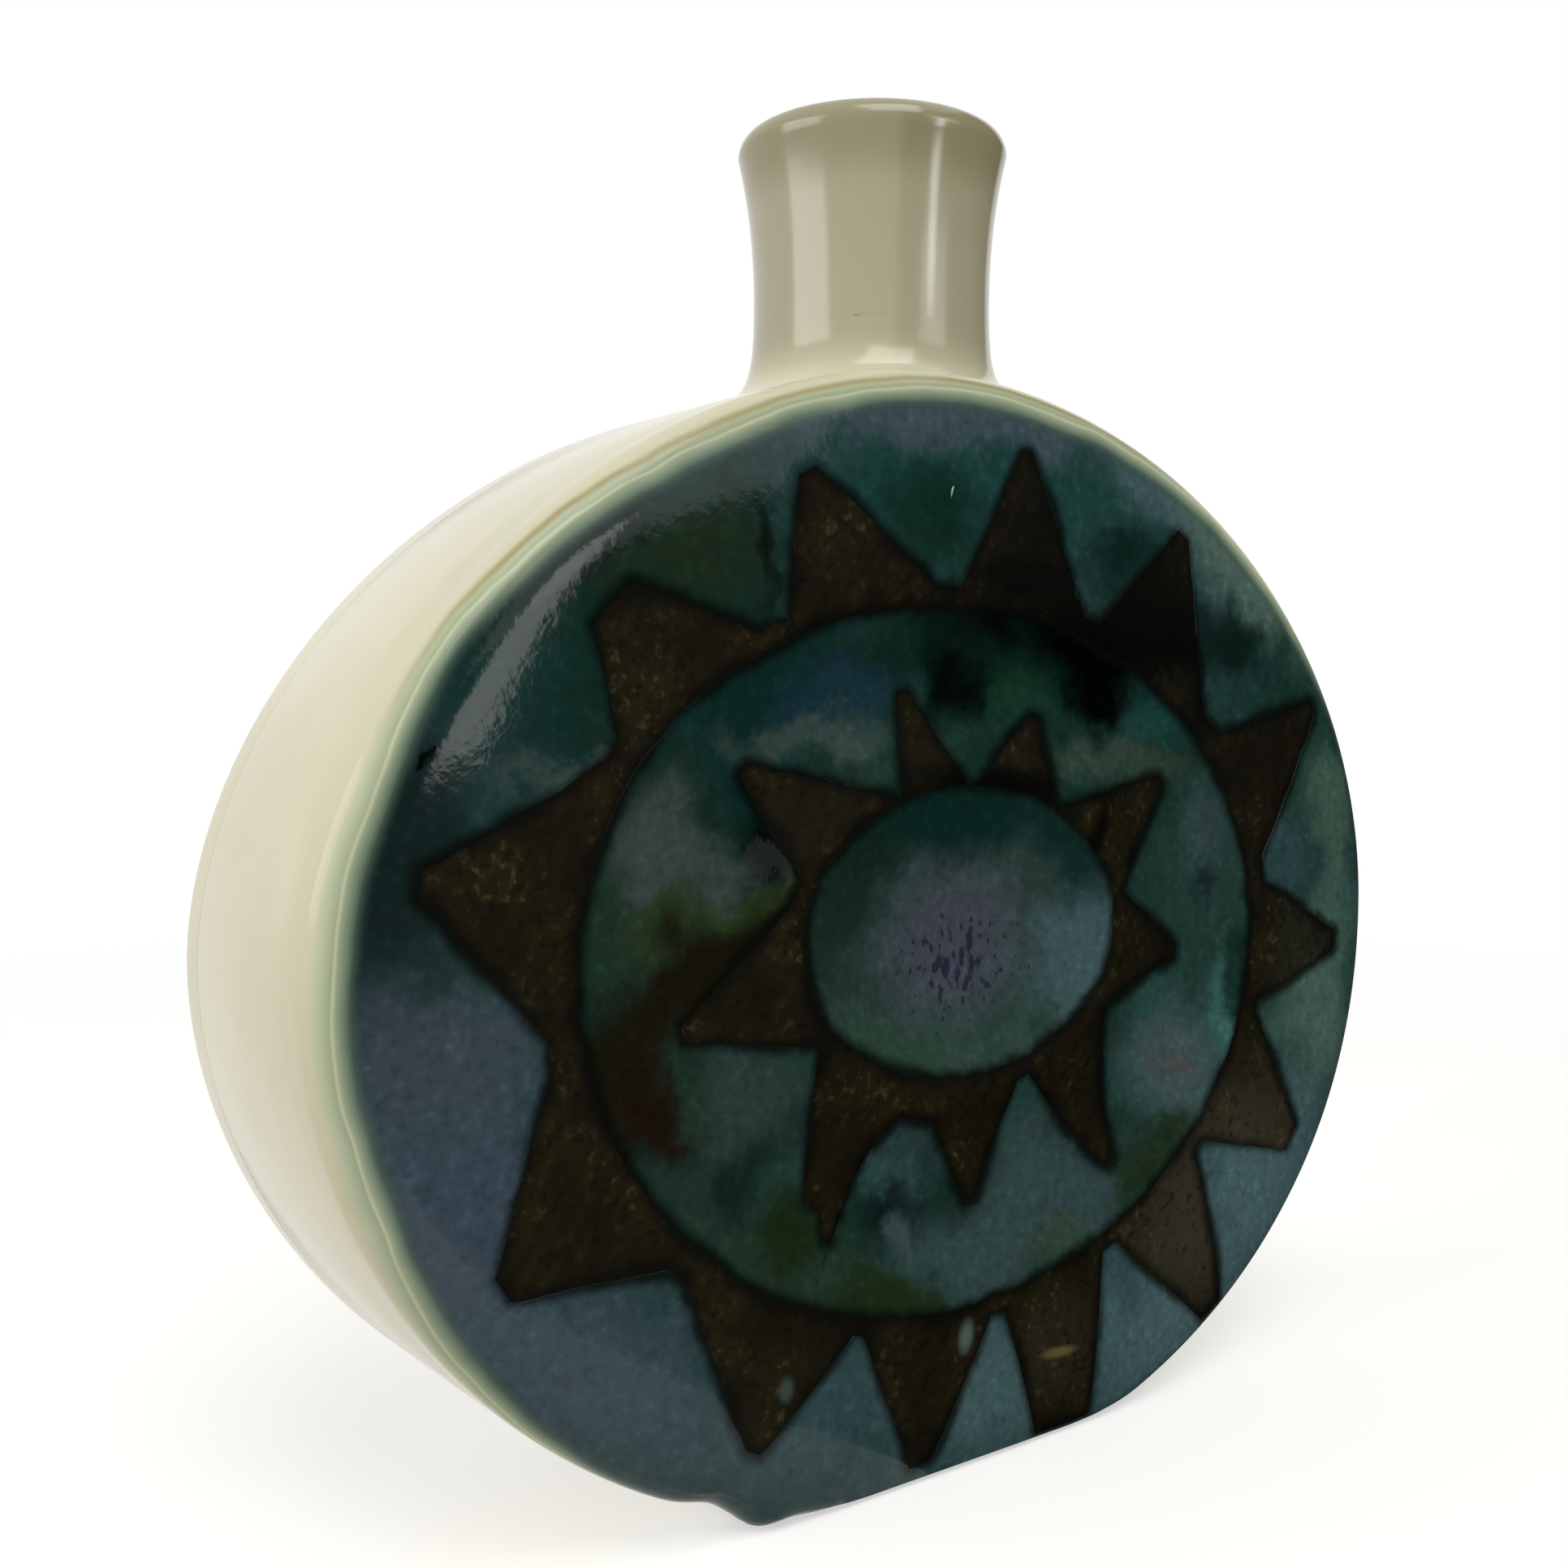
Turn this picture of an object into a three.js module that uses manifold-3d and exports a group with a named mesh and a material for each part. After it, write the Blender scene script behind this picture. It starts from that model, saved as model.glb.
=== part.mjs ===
// Perfume bottle vase: a slab-built oval flask with a thrown neck and a sunburst face.
// Millimetres, +Z up, decorated face towards -Y, origin at the middle of the base.

import * as THREE from "three";
import { mergeVertices } from "three/addons/utils/BufferGeometryUtils.js";
import Module from "manifold-3d";

// Body outline, seen from the front
const bodyHalfWidth = 63.2;
const centreHeight = 50; // widest level above the base
const crownHeight = 52.6; // widest level to the top of the wall
const baseLeftLength = 19.5; // of the flat that the vase stands on, left of the middle
const crownPowerLeft = 1.86; // roundness of each quarter of the outline: 2 is an ellipse
const crownPowerRight = 1.95;
const bellyPowerLeft = 1.91;
const bellyPowerRight = 2.11;

// Clay walls and seams
const bodyDepth = 30;
const wallThickness = 4.5;
const discRim = 5; // thickness of both discs where they sit on the wall
const frontEdgeRadius = 2.6; // rounding of the front disc's outer edge
const backEdgeRadius = 2;
const frontSlab = 6.8; // front disc from the face to its inner side
const backSlab = 5.6;
const backCrown = 0.8; // how far the back disc swells in the middle
const seamGap = 0.3; // slip layer between two pieces

// Relief of the face
const poolHalfWidth = 19.6;
const poolHalfHeight = 13.8;
const dishDepth = 2.4;
const innerRingWidth = 1.4; // brown ring round the pool
const grooveDepth = 1.5;
const grooveHalfWidth = 41; // outer edge of the groove, where the outer brown ring starts
const grooveHalfHeight = 32.5;
const outerRingWidth = 2.6;
const marginFall = 1; // how far the margin falls back towards the edge

// Sunburst: triangular rays on both brown rings
const innerRayCount = 9;
const innerRayLength = 9;
const innerRayStart = -19; // degrees clockwise from the top
const outerRayCount = 13;
const outerRayMargin = 6.8; // left between the tips and the body outline or the base
const outerRayStart = 7;
const crowdedRay = 8; // the brushed rays close up round this one, counted clockwise
const crowding = 20; // degrees
const crowdedSpan = 1.3; // in rays
const bluntness = 1.2; // half the width of a ray's tip, in degrees

// Glaze
const glazeThickness = 0.4;
const footWipe = 0.6; // bare strip above the base

// Neck
const neckHeight = 24.6; // wall to the top of the lip
const lipRadius = 13.1;
const lipWidth = 3.8; // across the rounded rim
const lipRise = 3.2; // widest level of the lip to its top
const waistRadius = 11.6;
const footRadius = 11.9;
const boreRadius = 5.5;
const mouthDepth = 12; // the mouth narrows to the bore over this depth
const spigotWall = 1.8;
const coilReach = 2.4; // how far the fillet runs out over the wall, left and right
const coilLap = 0.4; // the same towards the face and the back
const coilHeight = 4.4;
const coilFeather = 0.2; // thickness of the smeared upper edge

// Facets
const bodySegments = 72;
const neckSegments = 40;
const edgeSteps = 3;

const faceY = -bodyDepth / 2;
const backY = bodyDepth / 2;
const wallTop = centreHeight + crownHeight;
const baseShare = (baseLeftLength / bodyHalfWidth) ** bellyPowerLeft;
const bellyHeight = centreHeight / (1 - baseShare) ** (1 / bellyPowerLeft); // widest level to the uncut foot
const clayFaceY = faceY + seamGap + glazeThickness;

const wasm = await Module();
wasm.setup();

// A closed geometry as a solid that can be cut and joined.
function solid(geometry) {
  geometry.deleteAttribute("normal");
  geometry.deleteAttribute("uv");
  const welded = mergeVertices(geometry, 1e-4);
  const corners = welded.index.array;
  const triangles = [];
  for (let i = 0; i < corners.length; i += 3) {
    const [a, b, c] = corners.slice(i, i + 3);
    if (a !== b && b !== c && c !== a) triangles.push(a, b, c);
  }
  const mesh = new wasm.Mesh({
    numProp: 3,
    vertProperties: new Float32Array(welded.attributes.position.array),
    triVerts: new Uint32Array(triangles),
  });
  return new wasm.Manifold(mesh);
}

// Rings: ovals square to Y, each given as a depth y and a point for an angle from the top.
const signedPower = (value, power) => Math.sign(value) * Math.abs(value) ** power;

// The body outline, drawn in by inset and cut flat at the base or at a floor above it.
function outlineRing(y, inset, floor = 0) {
  const point = (angle) => {
    const upper = Math.cos(angle) >= 0;
    const right = Math.sin(angle) >= 0;
    const crownPower = right ? crownPowerRight : crownPowerLeft;
    const bellyPower = right ? bellyPowerRight : bellyPowerLeft;
    const power = 2 / (upper ? crownPower : bellyPower);
    const height = (upper ? crownHeight : bellyHeight) - inset;
    const x = (bodyHalfWidth - inset) * signedPower(Math.sin(angle), power);
    const z = centreHeight + height * signedPower(Math.cos(angle), power);
    return [x, Math.max(z, floor)];
  };
  return { y, point };
}

function ellipseRing(y, halfWidth, halfHeight) {
  const point = (angle) => [halfWidth * Math.sin(angle), centreHeight + halfHeight * Math.cos(angle)];
  return { y, point };
}

const centreRing = (y) => ellipseRing(y, 0, 0);

// A ring part of the way between two others, with its own depth.
function ringBetween(y, inner, outer, share) {
  const point = (angle) => {
    const [x0, z0] = inner.point(angle);
    const [x1, z1] = outer.point(angle);
    return [x0 + (x1 - x0) * share, z0 + (z1 - z0) * share];
  };
  return { y, point };
}

// The solid through a list of rings, which ends on the axis or closes on itself.
function loft(rings) {
  const profile = rings.map((ring) => new THREE.Vector2(1, ring.y));
  const geometry = new THREE.LatheGeometry(profile, bodySegments);
  const position = geometry.attributes.position;
  for (let i = 0; i < position.count; i++) {
    const ring = rings[i % rings.length];
    const step = Math.floor(i / rings.length) % bodySegments;
    const [x, z] = ring.point((step * 2 * Math.PI) / bodySegments);
    position.setXYZ(i, x, ring.y, z);
  }
  return solid(geometry);
}

// The rounded edge of a disc, from its face to its rim; outward is -1 in front and 1 behind.
function roundedEdge(outerY, outward, radius, grow) {
  const rings = [];
  for (let i = 0; i <= edgeSteps; i++) {
    const turn = (i / edgeSteps) * (Math.PI / 2);
    const y = outerY - outward * radius * (1 - Math.cos(turn));
    const inset = radius * (1 - Math.sin(turn));
    rings.push(outlineRing(y + outward * grow, inset - grow));
  }
  return rings;
}

const marginY = clayFaceY + marginFall;
const frontEdge = (grow) => roundedEdge(marginY, -1, frontEdgeRadius, grow);
const backEdge = (grow) => roundedEdge(backY - backCrown, 1, backEdgeRadius, grow).reverse();

// The outside of the whole body, for the cuts that seat the neck and its coil.
function bodyEnvelope(grow) {
  return loft([
    centreRing(marginY - grow),
    ...frontEdge(grow),
    ...backEdge(grow),
    centreRing(backY - backCrown + grow),
  ]);
}

// Side wall: a hoop pressed flat underneath, open at both sides, with the neck's hole on top.
const rimY = backY - discRim - seamGap;
const spigotRadius = boreRadius + spigotWall;

function makeSideWall() {
  const outer = (y) => outlineRing(y, 0);
  const inner = (y) => outlineRing(y, wallThickness, wallThickness);
  const hoop = loft([outer(-rimY), outer(rimY), inner(rimY), inner(-rimY), outer(-rimY)]);
  const holeRadius = spigotRadius + seamGap;
  const holeDepth = 4 * wallThickness;
  const hole = new THREE.CylinderGeometry(holeRadius, holeRadius, holeDepth, neckSegments);
  hole.rotateX(Math.PI / 2);
  hole.translate(0, 0, wallTop);
  return hoop.subtract(solid(hole));
}

// The face in relief, from the middle of the dish to the start of the rounded edge.
function faceRings() {
  const ridgeHalfWidth = poolHalfWidth + innerRingWidth;
  const ridgeHalfHeight = poolHalfHeight + innerRingWidth;
  const rings = [centreRing(clayFaceY + dishDepth)];
  for (const share of [0.4, 0.75, 1]) {
    const y = clayFaceY + dishDepth * (1 - share ** 2);
    rings.push(ellipseRing(y, poolHalfWidth * share, poolHalfHeight * share));
  }
  for (const share of [0, 0.25, 0.5, 0.75, 1]) {
    const y = clayFaceY + grooveDepth * Math.sin(Math.PI * share);
    const halfWidth = ridgeHalfWidth + (grooveHalfWidth - ridgeHalfWidth) * share;
    const halfHeight = ridgeHalfHeight + (grooveHalfHeight - ridgeHalfHeight) * share;
    rings.push(ellipseRing(y, halfWidth, halfHeight));
  }
  const crest = ellipseRing(clayFaceY, grooveHalfWidth + outerRingWidth, grooveHalfHeight + outerRingWidth);
  const edge = outlineRing(marginY, frontEdgeRadius);
  const middleY = clayFaceY + marginFall / 3;
  rings.push(crest, ringBetween(middleY, crest, edge, 0.6));
  return rings;
}

// The step behind each disc that drops inside the wall and centres the disc on it.
const registerInset = wallThickness + seamGap;
const registerRing = (y) => outlineRing(y, registerInset, registerInset);

function makeFrontDisc() {
  return loft([
    ...faceRings(),
    ...frontEdge(0),
    outlineRing(faceY + discRim, 0),
    registerRing(faceY + discRim),
    registerRing(faceY + frontSlab),
    centreRing(faceY + frontSlab),
  ]);
}

function makeBackDisc() {
  return loft([
    centreRing(backY - backSlab),
    registerRing(backY - backSlab),
    registerRing(backY - discRim),
    outlineRing(backY - discRim, 0),
    ...backEdge(0),
    ringBetween(backY - backCrown / 4, centreRing(0), outlineRing(0, backEdgeRadius), 0.5),
    centreRing(backY),
  ]);
}

// A solid turned about the neck's axis, from a profile of radii and heights.
function turned(profile) {
  const geometry = new THREE.LatheGeometry(profile, neckSegments);
  geometry.rotateX(Math.PI / 2);
  return geometry;
}

// The hourglass side of the neck, from inside the wall to the widest level of the lip.
const lipLevel = wallTop + neckHeight - lipRise;
const neckBottom = wallTop - 2 * wallThickness;

function neckSide(grow) {
  const bulge = (4 * waistRadius - (footRadius + lipRadius) / 2) / 3;
  const rise = (lipLevel - wallTop) / 3;
  const side = new THREE.CubicBezierCurve(
    new THREE.Vector2(footRadius + grow, wallTop),
    new THREE.Vector2(bulge + grow, wallTop + rise),
    new THREE.Vector2(bulge + grow, lipLevel - rise),
    new THREE.Vector2(lipRadius + grow, lipLevel),
  );
  const foot = [new THREE.Vector2(0, neckBottom), new THREE.Vector2(footRadius + grow, neckBottom)];
  return [...foot, ...side.getPoints(8)];
}

function makeNeck() {
  const lip = new THREE.EllipseCurve(lipRadius - lipWidth / 2, lipLevel, lipWidth / 2, lipRise, 0, Math.PI);
  const mouthBottom = lipLevel - mouthDepth;
  const mouth = new THREE.QuadraticBezierCurve(
    new THREE.Vector2(lipRadius - lipWidth, lipLevel),
    new THREE.Vector2(boreRadius, (lipLevel + mouthBottom) / 2),
    new THREE.Vector2(boreRadius, mouthBottom),
  );
  const profile = [
    ...neckSide(0),
    ...lip.getPoints(8).slice(1),
    ...mouth.getPoints(4).slice(1),
    new THREE.Vector2(0, mouthBottom),
  ];
  const collar = solid(turned(profile)).subtract(bodyEnvelope(seamGap));
  const spigotFoot = wallTop - wallThickness;
  const spigotHeight = mouthBottom - spigotFoot;
  const spigot = new THREE.CylinderGeometry(spigotRadius, spigotRadius, spigotHeight, neckSegments);
  const bore = new THREE.CylinderGeometry(boreRadius, boreRadius, 2 * spigotHeight, neckSegments);
  for (const part of [spigot, bore]) {
    part.rotateX(Math.PI / 2);
    part.translate(0, 0, (spigotFoot + mouthBottom) / 2);
  }
  return collar.add(solid(spigot)).subtract(solid(bore));
}

// Fillet coil: a hollow curve from the neck out over the wall, cut to both of them.
function makeNeckCoil() {
  const innerRadius = footRadius + seamGap + coilFeather;
  const outerRadius = innerRadius + coilReach;
  const crownPower = Math.min(crownPowerLeft, crownPowerRight);
  const crownShare = 1 - (outerRadius / bodyHalfWidth) ** crownPower;
  const toe = centreHeight + crownHeight * crownShare ** (1 / crownPower);
  const top = wallTop + coilHeight;
  const hollow = new THREE.QuadraticBezierCurve(
    new THREE.Vector2(outerRadius, toe),
    new THREE.Vector2(innerRadius, wallTop + coilHeight / 4),
    new THREE.Vector2(innerRadius, top),
  );
  const blank = turned([new THREE.Vector2(0, toe), ...hollow.getPoints(6), new THREE.Vector2(0, top)]);
  const position = blank.attributes.position;
  for (let i = 0; i < position.count; i++) {
    const radius = Math.hypot(position.getX(i), position.getY(i));
    const sideways = radius > 0 ? (position.getX(i) / radius) ** 2 : 0;
    const reach = coilLap + (coilReach - coilLap) * sideways;
    const drawnIn = Math.max(radius - innerRadius, 0) * (1 - reach / coilReach);
    const share = radius > 0 ? 1 - drawnIn / radius : 1;
    position.setXY(i, position.getX(i) * share, position.getY(i) * share);
  }
  const neckSpace = [...neckSide(seamGap), new THREE.Vector2(0, lipLevel)];
  return solid(blank).subtract(bodyEnvelope(seamGap)).subtract(solid(turned(neckSpace)));
}

// Glaze: a thin skin over the whole relief, cut into its three fields by upright outlines.
function faceSkin() {
  const face = [...faceRings(), outlineRing(marginY, frontEdgeRadius, -bellyHeight)];
  const raised = (lift) => face.map((ring) => ({ ...ring, y: ring.y - lift }));
  return loft([...raised(seamGap + glazeThickness), ...raised(seamGap).reverse()]);
}

// The points of a brown ring with its rays: a blunt tip on the outer ring, a valley on the inner one.
function sunburst(valleyRing, tipRing, angles) {
  const onRing = (ring, angle) => {
    const [x, z] = ring.point(angle);
    return new THREE.Vector2(x, z - centreHeight);
  };
  const halfTip = THREE.MathUtils.degToRad(bluntness);
  const points = [];
  angles.forEach((angle, i) => {
    const next = angles[i + 1] ?? angles[0] + 2 * Math.PI;
    points.push(onRing(tipRing, angle - halfTip), onRing(tipRing, angle + halfTip));
    points.push(onRing(valleyRing, (angle + next) / 2));
  });
  return points;
}

function rayAngles(count, start, crowd = 0) {
  const angles = [];
  for (let i = 0; i < count; i++) {
    const nearness = Math.exp(-(((i - crowdedRay) / crowdedSpan) ** 2));
    angles.push(THREE.MathUtils.degToRad(start + (i * 360) / count - crowd * nearness));
  }
  return angles;
}

function ovalPoints(halfWidth, halfHeight) {
  return new THREE.EllipseCurve(0, 0, halfWidth, halfHeight).getPoints(bodySegments).slice(1);
}

function fieldPrism(outline) {
  const shape = new THREE.Shape(outline);
  const prism = new THREE.ExtrudeGeometry(shape, { depth: bodyDepth, bevelEnabled: false });
  prism.rotateX(Math.PI / 2);
  prism.translate(0, 0, centreHeight);
  return solid(prism);
}

function makePoolGlaze() {
  return faceSkin().intersect(fieldPrism(ovalPoints(poolHalfWidth, poolHalfHeight)));
}

function makeRingGlaze() {
  const angles = rayAngles(innerRayCount, innerRayStart);
  const halfWidth = poolHalfWidth + innerRingWidth;
  const halfHeight = poolHalfHeight + innerRingWidth;
  const valleys = ellipseRing(0, halfWidth, halfHeight);
  const tips = ellipseRing(0, halfWidth + innerRayLength, halfHeight + innerRayLength);
  const rays = sunburst(valleys, tips, angles);
  const groove = fieldPrism(ovalPoints(grooveHalfWidth, grooveHalfHeight));
  return faceSkin().intersect(groove).subtract(fieldPrism(rays));
}

function makeMarginGlaze() {
  const angles = rayAngles(outerRayCount, outerRayStart, crowding);
  const halfWidth = grooveHalfWidth + outerRingWidth;
  const halfHeight = grooveHalfHeight + outerRingWidth;
  const valleys = ellipseRing(0, halfWidth, halfHeight);
  const tips = outlineRing(0, outerRayMargin, outerRayMargin);
  const rays = sunburst(valleys, tips, angles);
  const edge = outlineRing(0, frontEdgeRadius, -bellyHeight);
  const outline = [];
  for (let i = 0; i < bodySegments; i++) {
    const [x, z] = edge.point((i * 2 * Math.PI) / bodySegments);
    outline.push(new THREE.Vector2(x, z - centreHeight));
  }
  const wiped = new THREE.BoxGeometry(2 * bodyHalfWidth, bodyDepth, bellyHeight);
  wiped.translate(0, 0, footWipe - bellyHeight / 2);
  return faceSkin().intersect(fieldPrism(outline)).subtract(fieldPrism(rays)).subtract(solid(wiped));
}

// Finishes
const creamGlaze = new THREE.MeshStandardMaterial({ color: 0xd9d4ba, roughness: 0.15, metalness: 0 });
const brownClay = new THREE.MeshStandardMaterial({ color: 0x33291a, roughness: 0.6, metalness: 0 });
const poolGlaze = new THREE.MeshStandardMaterial({ color: 0x54606e, roughness: 0.12, metalness: 0 });
const tealGlaze = new THREE.MeshStandardMaterial({ color: 0x2c4a4a, roughness: 0.12, metalness: 0 });
const slateGlaze = new THREE.MeshStandardMaterial({ color: 0x37475c, roughness: 0.12, metalness: 0 });

const vase = new THREE.Group();

function addPiece(name, body, material) {
  const { vertProperties, triVerts } = body.getMesh();
  const geometry = new THREE.BufferGeometry();
  geometry.setAttribute("position", new THREE.BufferAttribute(vertProperties, 3));
  geometry.setIndex(new THREE.BufferAttribute(triVerts, 1));
  geometry.computeVertexNormals();
  const mesh = new THREE.Mesh(geometry, material);
  mesh.name = name;
  vase.add(mesh);
}

addPiece("side_wall", makeSideWall(), creamGlaze);
addPiece("front_disc", makeFrontDisc(), brownClay);
addPiece("back_disc", makeBackDisc(), creamGlaze);
addPiece("neck", makeNeck(), creamGlaze);
addPiece("neck_coil", makeNeckCoil(), creamGlaze);
addPiece("pool_glaze", makePoolGlaze(), poolGlaze);
addPiece("ring_glaze", makeRingGlaze(), tealGlaze);
addPiece("margin_glaze", makeMarginGlaze(), slateGlaze);

export default vase;
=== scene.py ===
import math
import bpy
import numpy as np
from mathutils import Matrix, Quaternion, Vector, noise
from mathutils.kdtree import KDTree


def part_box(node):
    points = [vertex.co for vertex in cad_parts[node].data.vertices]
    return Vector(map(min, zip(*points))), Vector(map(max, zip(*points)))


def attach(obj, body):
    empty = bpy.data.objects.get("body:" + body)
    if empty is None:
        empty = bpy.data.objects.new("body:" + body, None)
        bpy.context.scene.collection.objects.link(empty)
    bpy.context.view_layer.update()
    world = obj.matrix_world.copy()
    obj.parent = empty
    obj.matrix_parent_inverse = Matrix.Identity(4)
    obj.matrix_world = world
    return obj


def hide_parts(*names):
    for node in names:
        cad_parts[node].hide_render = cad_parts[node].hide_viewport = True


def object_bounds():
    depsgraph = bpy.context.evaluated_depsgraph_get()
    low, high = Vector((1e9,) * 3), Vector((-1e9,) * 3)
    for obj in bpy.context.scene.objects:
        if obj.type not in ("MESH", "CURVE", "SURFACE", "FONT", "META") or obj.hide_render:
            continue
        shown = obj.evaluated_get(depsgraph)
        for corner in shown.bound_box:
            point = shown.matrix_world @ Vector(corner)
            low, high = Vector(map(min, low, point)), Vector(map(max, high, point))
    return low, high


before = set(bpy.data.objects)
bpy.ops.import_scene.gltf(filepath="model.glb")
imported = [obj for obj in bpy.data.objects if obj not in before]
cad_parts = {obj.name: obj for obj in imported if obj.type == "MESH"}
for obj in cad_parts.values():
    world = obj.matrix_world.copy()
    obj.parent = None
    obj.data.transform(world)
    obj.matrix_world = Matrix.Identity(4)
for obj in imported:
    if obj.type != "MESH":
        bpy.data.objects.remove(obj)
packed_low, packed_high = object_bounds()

# Side wall: a hoop of stoneware slab, bent to an oval and pressed flat underneath, with a
# round hole on top for the neck. The cream glaze turns greener where the face's glaze ran
# over it, and the underside is wiped bare for the kiln shelf.
MM = 0.001
wall_low, wall_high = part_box("side_wall")
half_width = wall_high.x / MM
wall_top = wall_high.z / MM
groove_low, groove_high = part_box("ring_glaze")
centre_z = (groove_low.z + groove_high.z) / 2 / MM  # of the face's middle
wall_thickness = 4.5
base_left = 19.5  # of the flat underneath, left of the middle
crown_powers = (1.86, 1.95)  # left and right: 2 is an ellipse
belly_powers = (1.91, 2.11)
belly_share = (1 - (base_left / half_width) ** belly_powers[0]) ** (1 / belly_powers[0])
belly_height = centre_z / belly_share
half_joint = 0.15  # of the slip between the wall and each disc
front_seam_y = wall_low.y / MM - half_joint
back_seam_y = wall_high.y / MM + half_joint
seam = 0.005  # hairline between pieces that meet
columns = 900
turn = np.arange(columns) * 2 * np.pi / columns  # clockwise from the top
turn_wide, turn_high = 61.0, 52.0  # half the oval on which a share of a turn is 1
across, upward = turn_wide * np.sin(turn), turn_high * np.cos(turn)
mean_radius = 55  # about what a share of 1 measures


def bump(centre, spread):
    """A soft hump in the turn, centred and spread in degrees."""
    return np.exp(-((np.degrees(turn) - centre) / spread) ** 2)


foot_notch = 1.0 * bump(201.0, 2.0) - 0.65 * bump(207.0, 2.6)  # a lump by the foot, and a dip beside it
foot_corner = 0.04  # share over which the round of the body turns into the flat underneath
least_drop = 5  # below the middle, from which the underside can be met
unmet = 9.0  # a share well outside the body


def outline(inset, floor=0.0):
    """Shares along each turn where the body outline, drawn in by inset, is met."""
    width = half_width - inset
    height = np.where(upward > 0, wall_top - centre_z, belly_height) - inset
    right = (across > 0).astype(int)
    power = np.where(upward > 0, np.take(crown_powers, right), np.take(belly_powers, right))
    share = (np.abs(across / width) ** power + np.abs(upward / height) ** power) ** (-1 / power)
    share = share + foot_notch / mean_radius
    drop = np.maximum(-upward, least_drop)
    base = np.where(upward < -least_drop, (centre_z - floor) / drop, unmet)
    meet = np.clip(0.5 + (base - share) / foot_corner, 0, 1)
    return base + (share - base) * meet - foot_corner / 2 * meet * (1 - meet)


def ring(share, y):
    """Points at those shares of each turn and that depth, in millimetres."""
    return np.stack([across * share, np.broadcast_to(y, columns), centre_z + upward * share], axis=1)


def linear(code):
    """An sRGB hex colour as the linear RGBA that a shader socket takes."""
    channels = [int(code[i:i + 2], 16) / 255 for i in (1, 3, 5)]
    return (*[c / 12.92 if c <= 0.04045 else ((c + 0.055) / 1.055) ** 2.4 for c in channels], 1.0)


def node(tree, kind, inputs=None, stops=(), **settings):
    """Adds a node, sets it up and links its inputs, given by name or number."""
    made = tree.nodes.new(kind)
    for name, value in settings.items():
        setattr(made, name, value)
    for key, value in (inputs or {}).items():
        named = [s for s in made.inputs if s.enabled and s.name == key]
        socket = made.inputs[key] if isinstance(key, int) else named[0]
        if isinstance(value, bpy.types.Node):
            value = next(s for s in value.outputs if s.enabled)
        if isinstance(value, bpy.types.NodeSocket):
            tree.links.new(value, socket)
        else:
            socket.default_value = value
    for i, (position, code) in enumerate(stops):
        if i >= len(made.color_ramp.elements):
            made.color_ramp.elements.new(position)
        made.color_ramp.elements[i].position = position
        made.color_ramp.elements[i].color = linear(code)
    return made


def new_material(name):
    """A material with an empty node tree, and the tree."""
    made = bpy.data.materials.new(name)
    made.use_nodes = True
    made.node_tree.nodes.clear()
    return made, made.node_tree


# Cream glaze: an even, glossy stoneware glaze with a faint cloudiness, sparse iron specks
# and a greener skirt where it meets the face. It is greyer on the neck and olive on the lip, both
# darkened by painted shade.
cream_glaze, tree = new_material("cream_glaze")
place = node(tree, "ShaderNodeTexCoord").outputs["Object"]
cloud = node(tree, "ShaderNodeTexNoise", {"Vector": place, "Scale": 1 / (16 * MM), "Detail": 3.0})
colour = node(tree, "ShaderNodeValToRGB", {"Fac": cloud}, stops=((0.3, "#d4cdad"), (0.7, "#ddd7ba")))
axes = node(tree, "ShaderNodeSeparateXYZ", {"Vector": place}).outputs
skirt_lean = 0.06  # the skirt reaches further back towards the top
ragged = node(tree, "ShaderNodeMath", {0: cloud, 1: 2.5 * MM, 2: axes["Y"]}, operation="MULTIPLY_ADD")
ragged = node(tree, "ShaderNodeMath", {0: axes["Z"], 1: -skirt_lean, 2: ragged}, operation="MULTIPLY_ADD")
skirt_y = front_seam_y - skirt_lean * centre_z
skirt = node(tree, "ShaderNodeMapRange", {
    "Value": ragged, "From Min": (skirt_y + 4.2) * MM, "From Max": (skirt_y - 0.5) * MM, "To Max": 0.35},
    interpolation_type="SMOOTHSTEP")
colour = node(tree, "ShaderNodeMix", {"Factor": skirt, "A": colour, "B": linear("#c4c8a2")}, data_type="RGBA")
# Painted shade on the neck and lip, greyer and olive: the heights over the wall's top where the
# change starts and ends, strength, colour.
for low, high, strength, code in ((-2.5, 4, 0.85, "#a49d82"), (16, 21, 0.9, "#958f6e")):
    neck_shade = node(tree, "ShaderNodeMapRange", {
        "Value": axes["Z"], "From Min": (wall_top + low) * MM, "From Max": (wall_top + high) * MM,
        "To Max": strength}, interpolation_type="SMOOTHSTEP")
    colour = node(tree, "ShaderNodeMix", {"Factor": neck_shade, "A": colour, "B": linear(code)}, data_type="RGBA")
cells = node(tree, "ShaderNodeTexVoronoi", {"Vector": place, "Scale": 1 / (8 * MM)})
dot = node(tree, "ShaderNodeMapRange", {
    "Value": cells.outputs["Distance"], "From Min": 0.045, "From Max": 0.015, "To Max": 0.6})
chosen = node(tree, "ShaderNodeMath", {0: cells.outputs["Color"], 1: 0.62}, operation="GREATER_THAN")
speck = node(tree, "ShaderNodeMath", {0: dot, 1: chosen}, operation="MULTIPLY")
colour = node(tree, "ShaderNodeMix", {"Factor": speck, "A": colour, "B": linear("#6e6650")}, data_type="RGBA")
wiped = node(tree, "ShaderNodeMapRange", {"Value": axes["Z"], "From Min": 0.5 * MM, "From Max": 0.15 * MM})
colour = node(tree, "ShaderNodeMix", {"Factor": wiped, "A": colour, "B": linear("#2b2317")}, data_type="RGBA")
ripple = node(tree, "ShaderNodeTexNoise", {"Vector": place, "Scale": 1 / (7 * MM), "Detail": 2.0})
relief = node(tree, "ShaderNodeBump", {"Height": ripple, "Strength": 0.35, "Distance": 0.12 * MM})
shader = node(tree, "ShaderNodeBsdfPrincipled", {"Base Color": colour, "Roughness": 0.16, "Normal": relief})
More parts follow.
